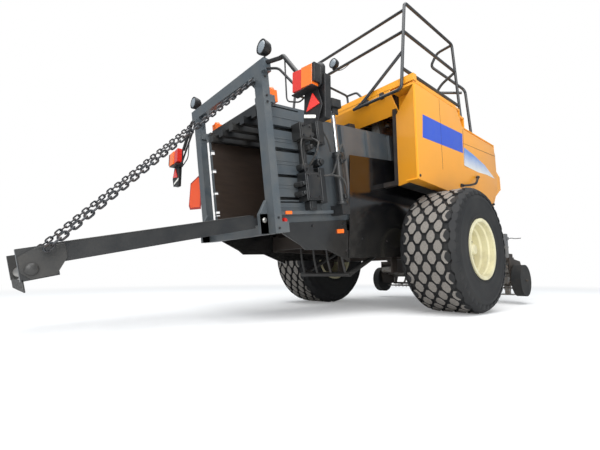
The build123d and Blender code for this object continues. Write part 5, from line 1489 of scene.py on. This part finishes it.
# %% Floor and background
FLOOR_HALF = 40.0
FLOOR_BLEND_START, FLOOR_BLEND_END = 4.5, 11.0

floor_mesh = bpy.data.meshes.new("floor")
floor_mesh.from_pydata([(-FLOOR_HALF, -FLOOR_HALF, 0), (FLOOR_HALF, -FLOOR_HALF, 0),
                        (FLOOR_HALF, FLOOR_HALF, 0), (-FLOOR_HALF, FLOOR_HALF, 0)], [], [(0, 1, 2, 3)])
floor = bpy.data.objects.new("floor", floor_mesh)
bpy.context.scene.collection.objects.link(floor)
material = bpy.data.materials.new("pale floor")
material.use_nodes = True
tree = material.node_tree
tree.nodes.clear()
ground = add(tree, "ShaderNodeBsdfDiffuse", (), {"Color": (0.8, 0.8, 0.8, 1)})
white = add(tree, "ShaderNodeEmission", (), {"Color": (1, 1, 1, 1), "Strength": 1.0})
glow = add(tree, "ShaderNodeEmission", (), {"Color": (1, 1, 1, 1), "Strength": 0.2})
lifted = add(tree, "ShaderNodeAddShader", (), {0: ground.outputs[0], 1: glow.outputs[0]})
spot = add(tree, "ShaderNodeTexCoord").outputs["Object"]
middle = add(tree, "ShaderNodeVectorMath", {"operation": "LENGTH"}, {0: spot})
far = add(tree, "ShaderNodeMapRange", {"interpolation_type": "SMOOTHSTEP"},
          {"Value": middle.outputs["Value"], "From Min": FLOOR_BLEND_START, "From Max": FLOOR_BLEND_END})
faded = add(tree, "ShaderNodeMixShader", (), {0: far.outputs[0], 1: lifted.outputs[0], 2: white.outputs[0]})
ray = add(tree, "ShaderNodeLightPath")
shown = add(tree, "ShaderNodeMixShader", (), {0: ray.outputs["Is Camera Ray"], 1: ground.outputs[0],
                                              2: faded.outputs[0]})
add(tree, "ShaderNodeOutputMaterial", (), {"Surface": shown.outputs[0]})
floor_mesh.materials.append(material)
floor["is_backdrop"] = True

world = bpy.data.worlds.new("white surroundings")
bpy.context.scene.world = world
world.use_nodes = True
tree = world.node_tree
tree.nodes.clear()
sky = add(tree, "ShaderNodeBackground", (), {"Color": rgb("dfe6ec"), "Strength": 0.6})
plain = add(tree, "ShaderNodeBackground", (), {"Color": (1, 1, 1, 1), "Strength": 1.0})
ray = add(tree, "ShaderNodeLightPath")
seen = add(tree, "ShaderNodeMixShader", (), {0: ray.outputs["Is Camera Ray"], 1: sky.outputs[0],
                                             2: plain.outputs[0]})
add(tree, "ShaderNodeOutputWorld", (), {"Surface": seen.outputs[0]})
print("floor fades to white between", FLOOR_BLEND_START, "and", FLOOR_BLEND_END)

# %% [markdown]
# ## Light
# The photo has an overcast sky, which throws soft shadows. Two large area lamps stand in for it: the
# larger and stronger one overhead, and a weaker one from the camera's side that opens up the black
# parts.

# %% Lamps


def soft_lamp(name, place, target, size, power):
    """A square area lamp aimed at a point."""
    data = bpy.data.lights.new(name, "AREA")
    data.energy = power
    data.size = size
    lamp = bpy.data.objects.new(name, data)
    lamp.location = place
    lamp.rotation_euler = (Vector(target) - Vector(place)).to_track_quat("-Z", "Y").to_euler()
    bpy.context.scene.collection.objects.link(lamp)


soft_lamp("overcast sky", (-2.0, -1.5, 8.0), (0, 0, 1), 9.0, 850.0)
soft_lamp("camera side", (-6.5, -6.0, 3.5), (-1.0, 0, 1.4), 5.0, 420.0)

scene = bpy.context.scene
scene.view_settings.view_transform = "Standard"
scene.view_settings.look = "None"
scene.render.film_transparent = False
print("two lamps lit")

# %% [markdown]
# ## Size and finish
# The dressed machine should stay inside the box of the solids. Its box is measured, and its size is printed.

# %% Size and finish
low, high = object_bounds()
size = [round(b - a, 4) for a, b in zip(low, high)]
print("size of the dressed machine:", size)
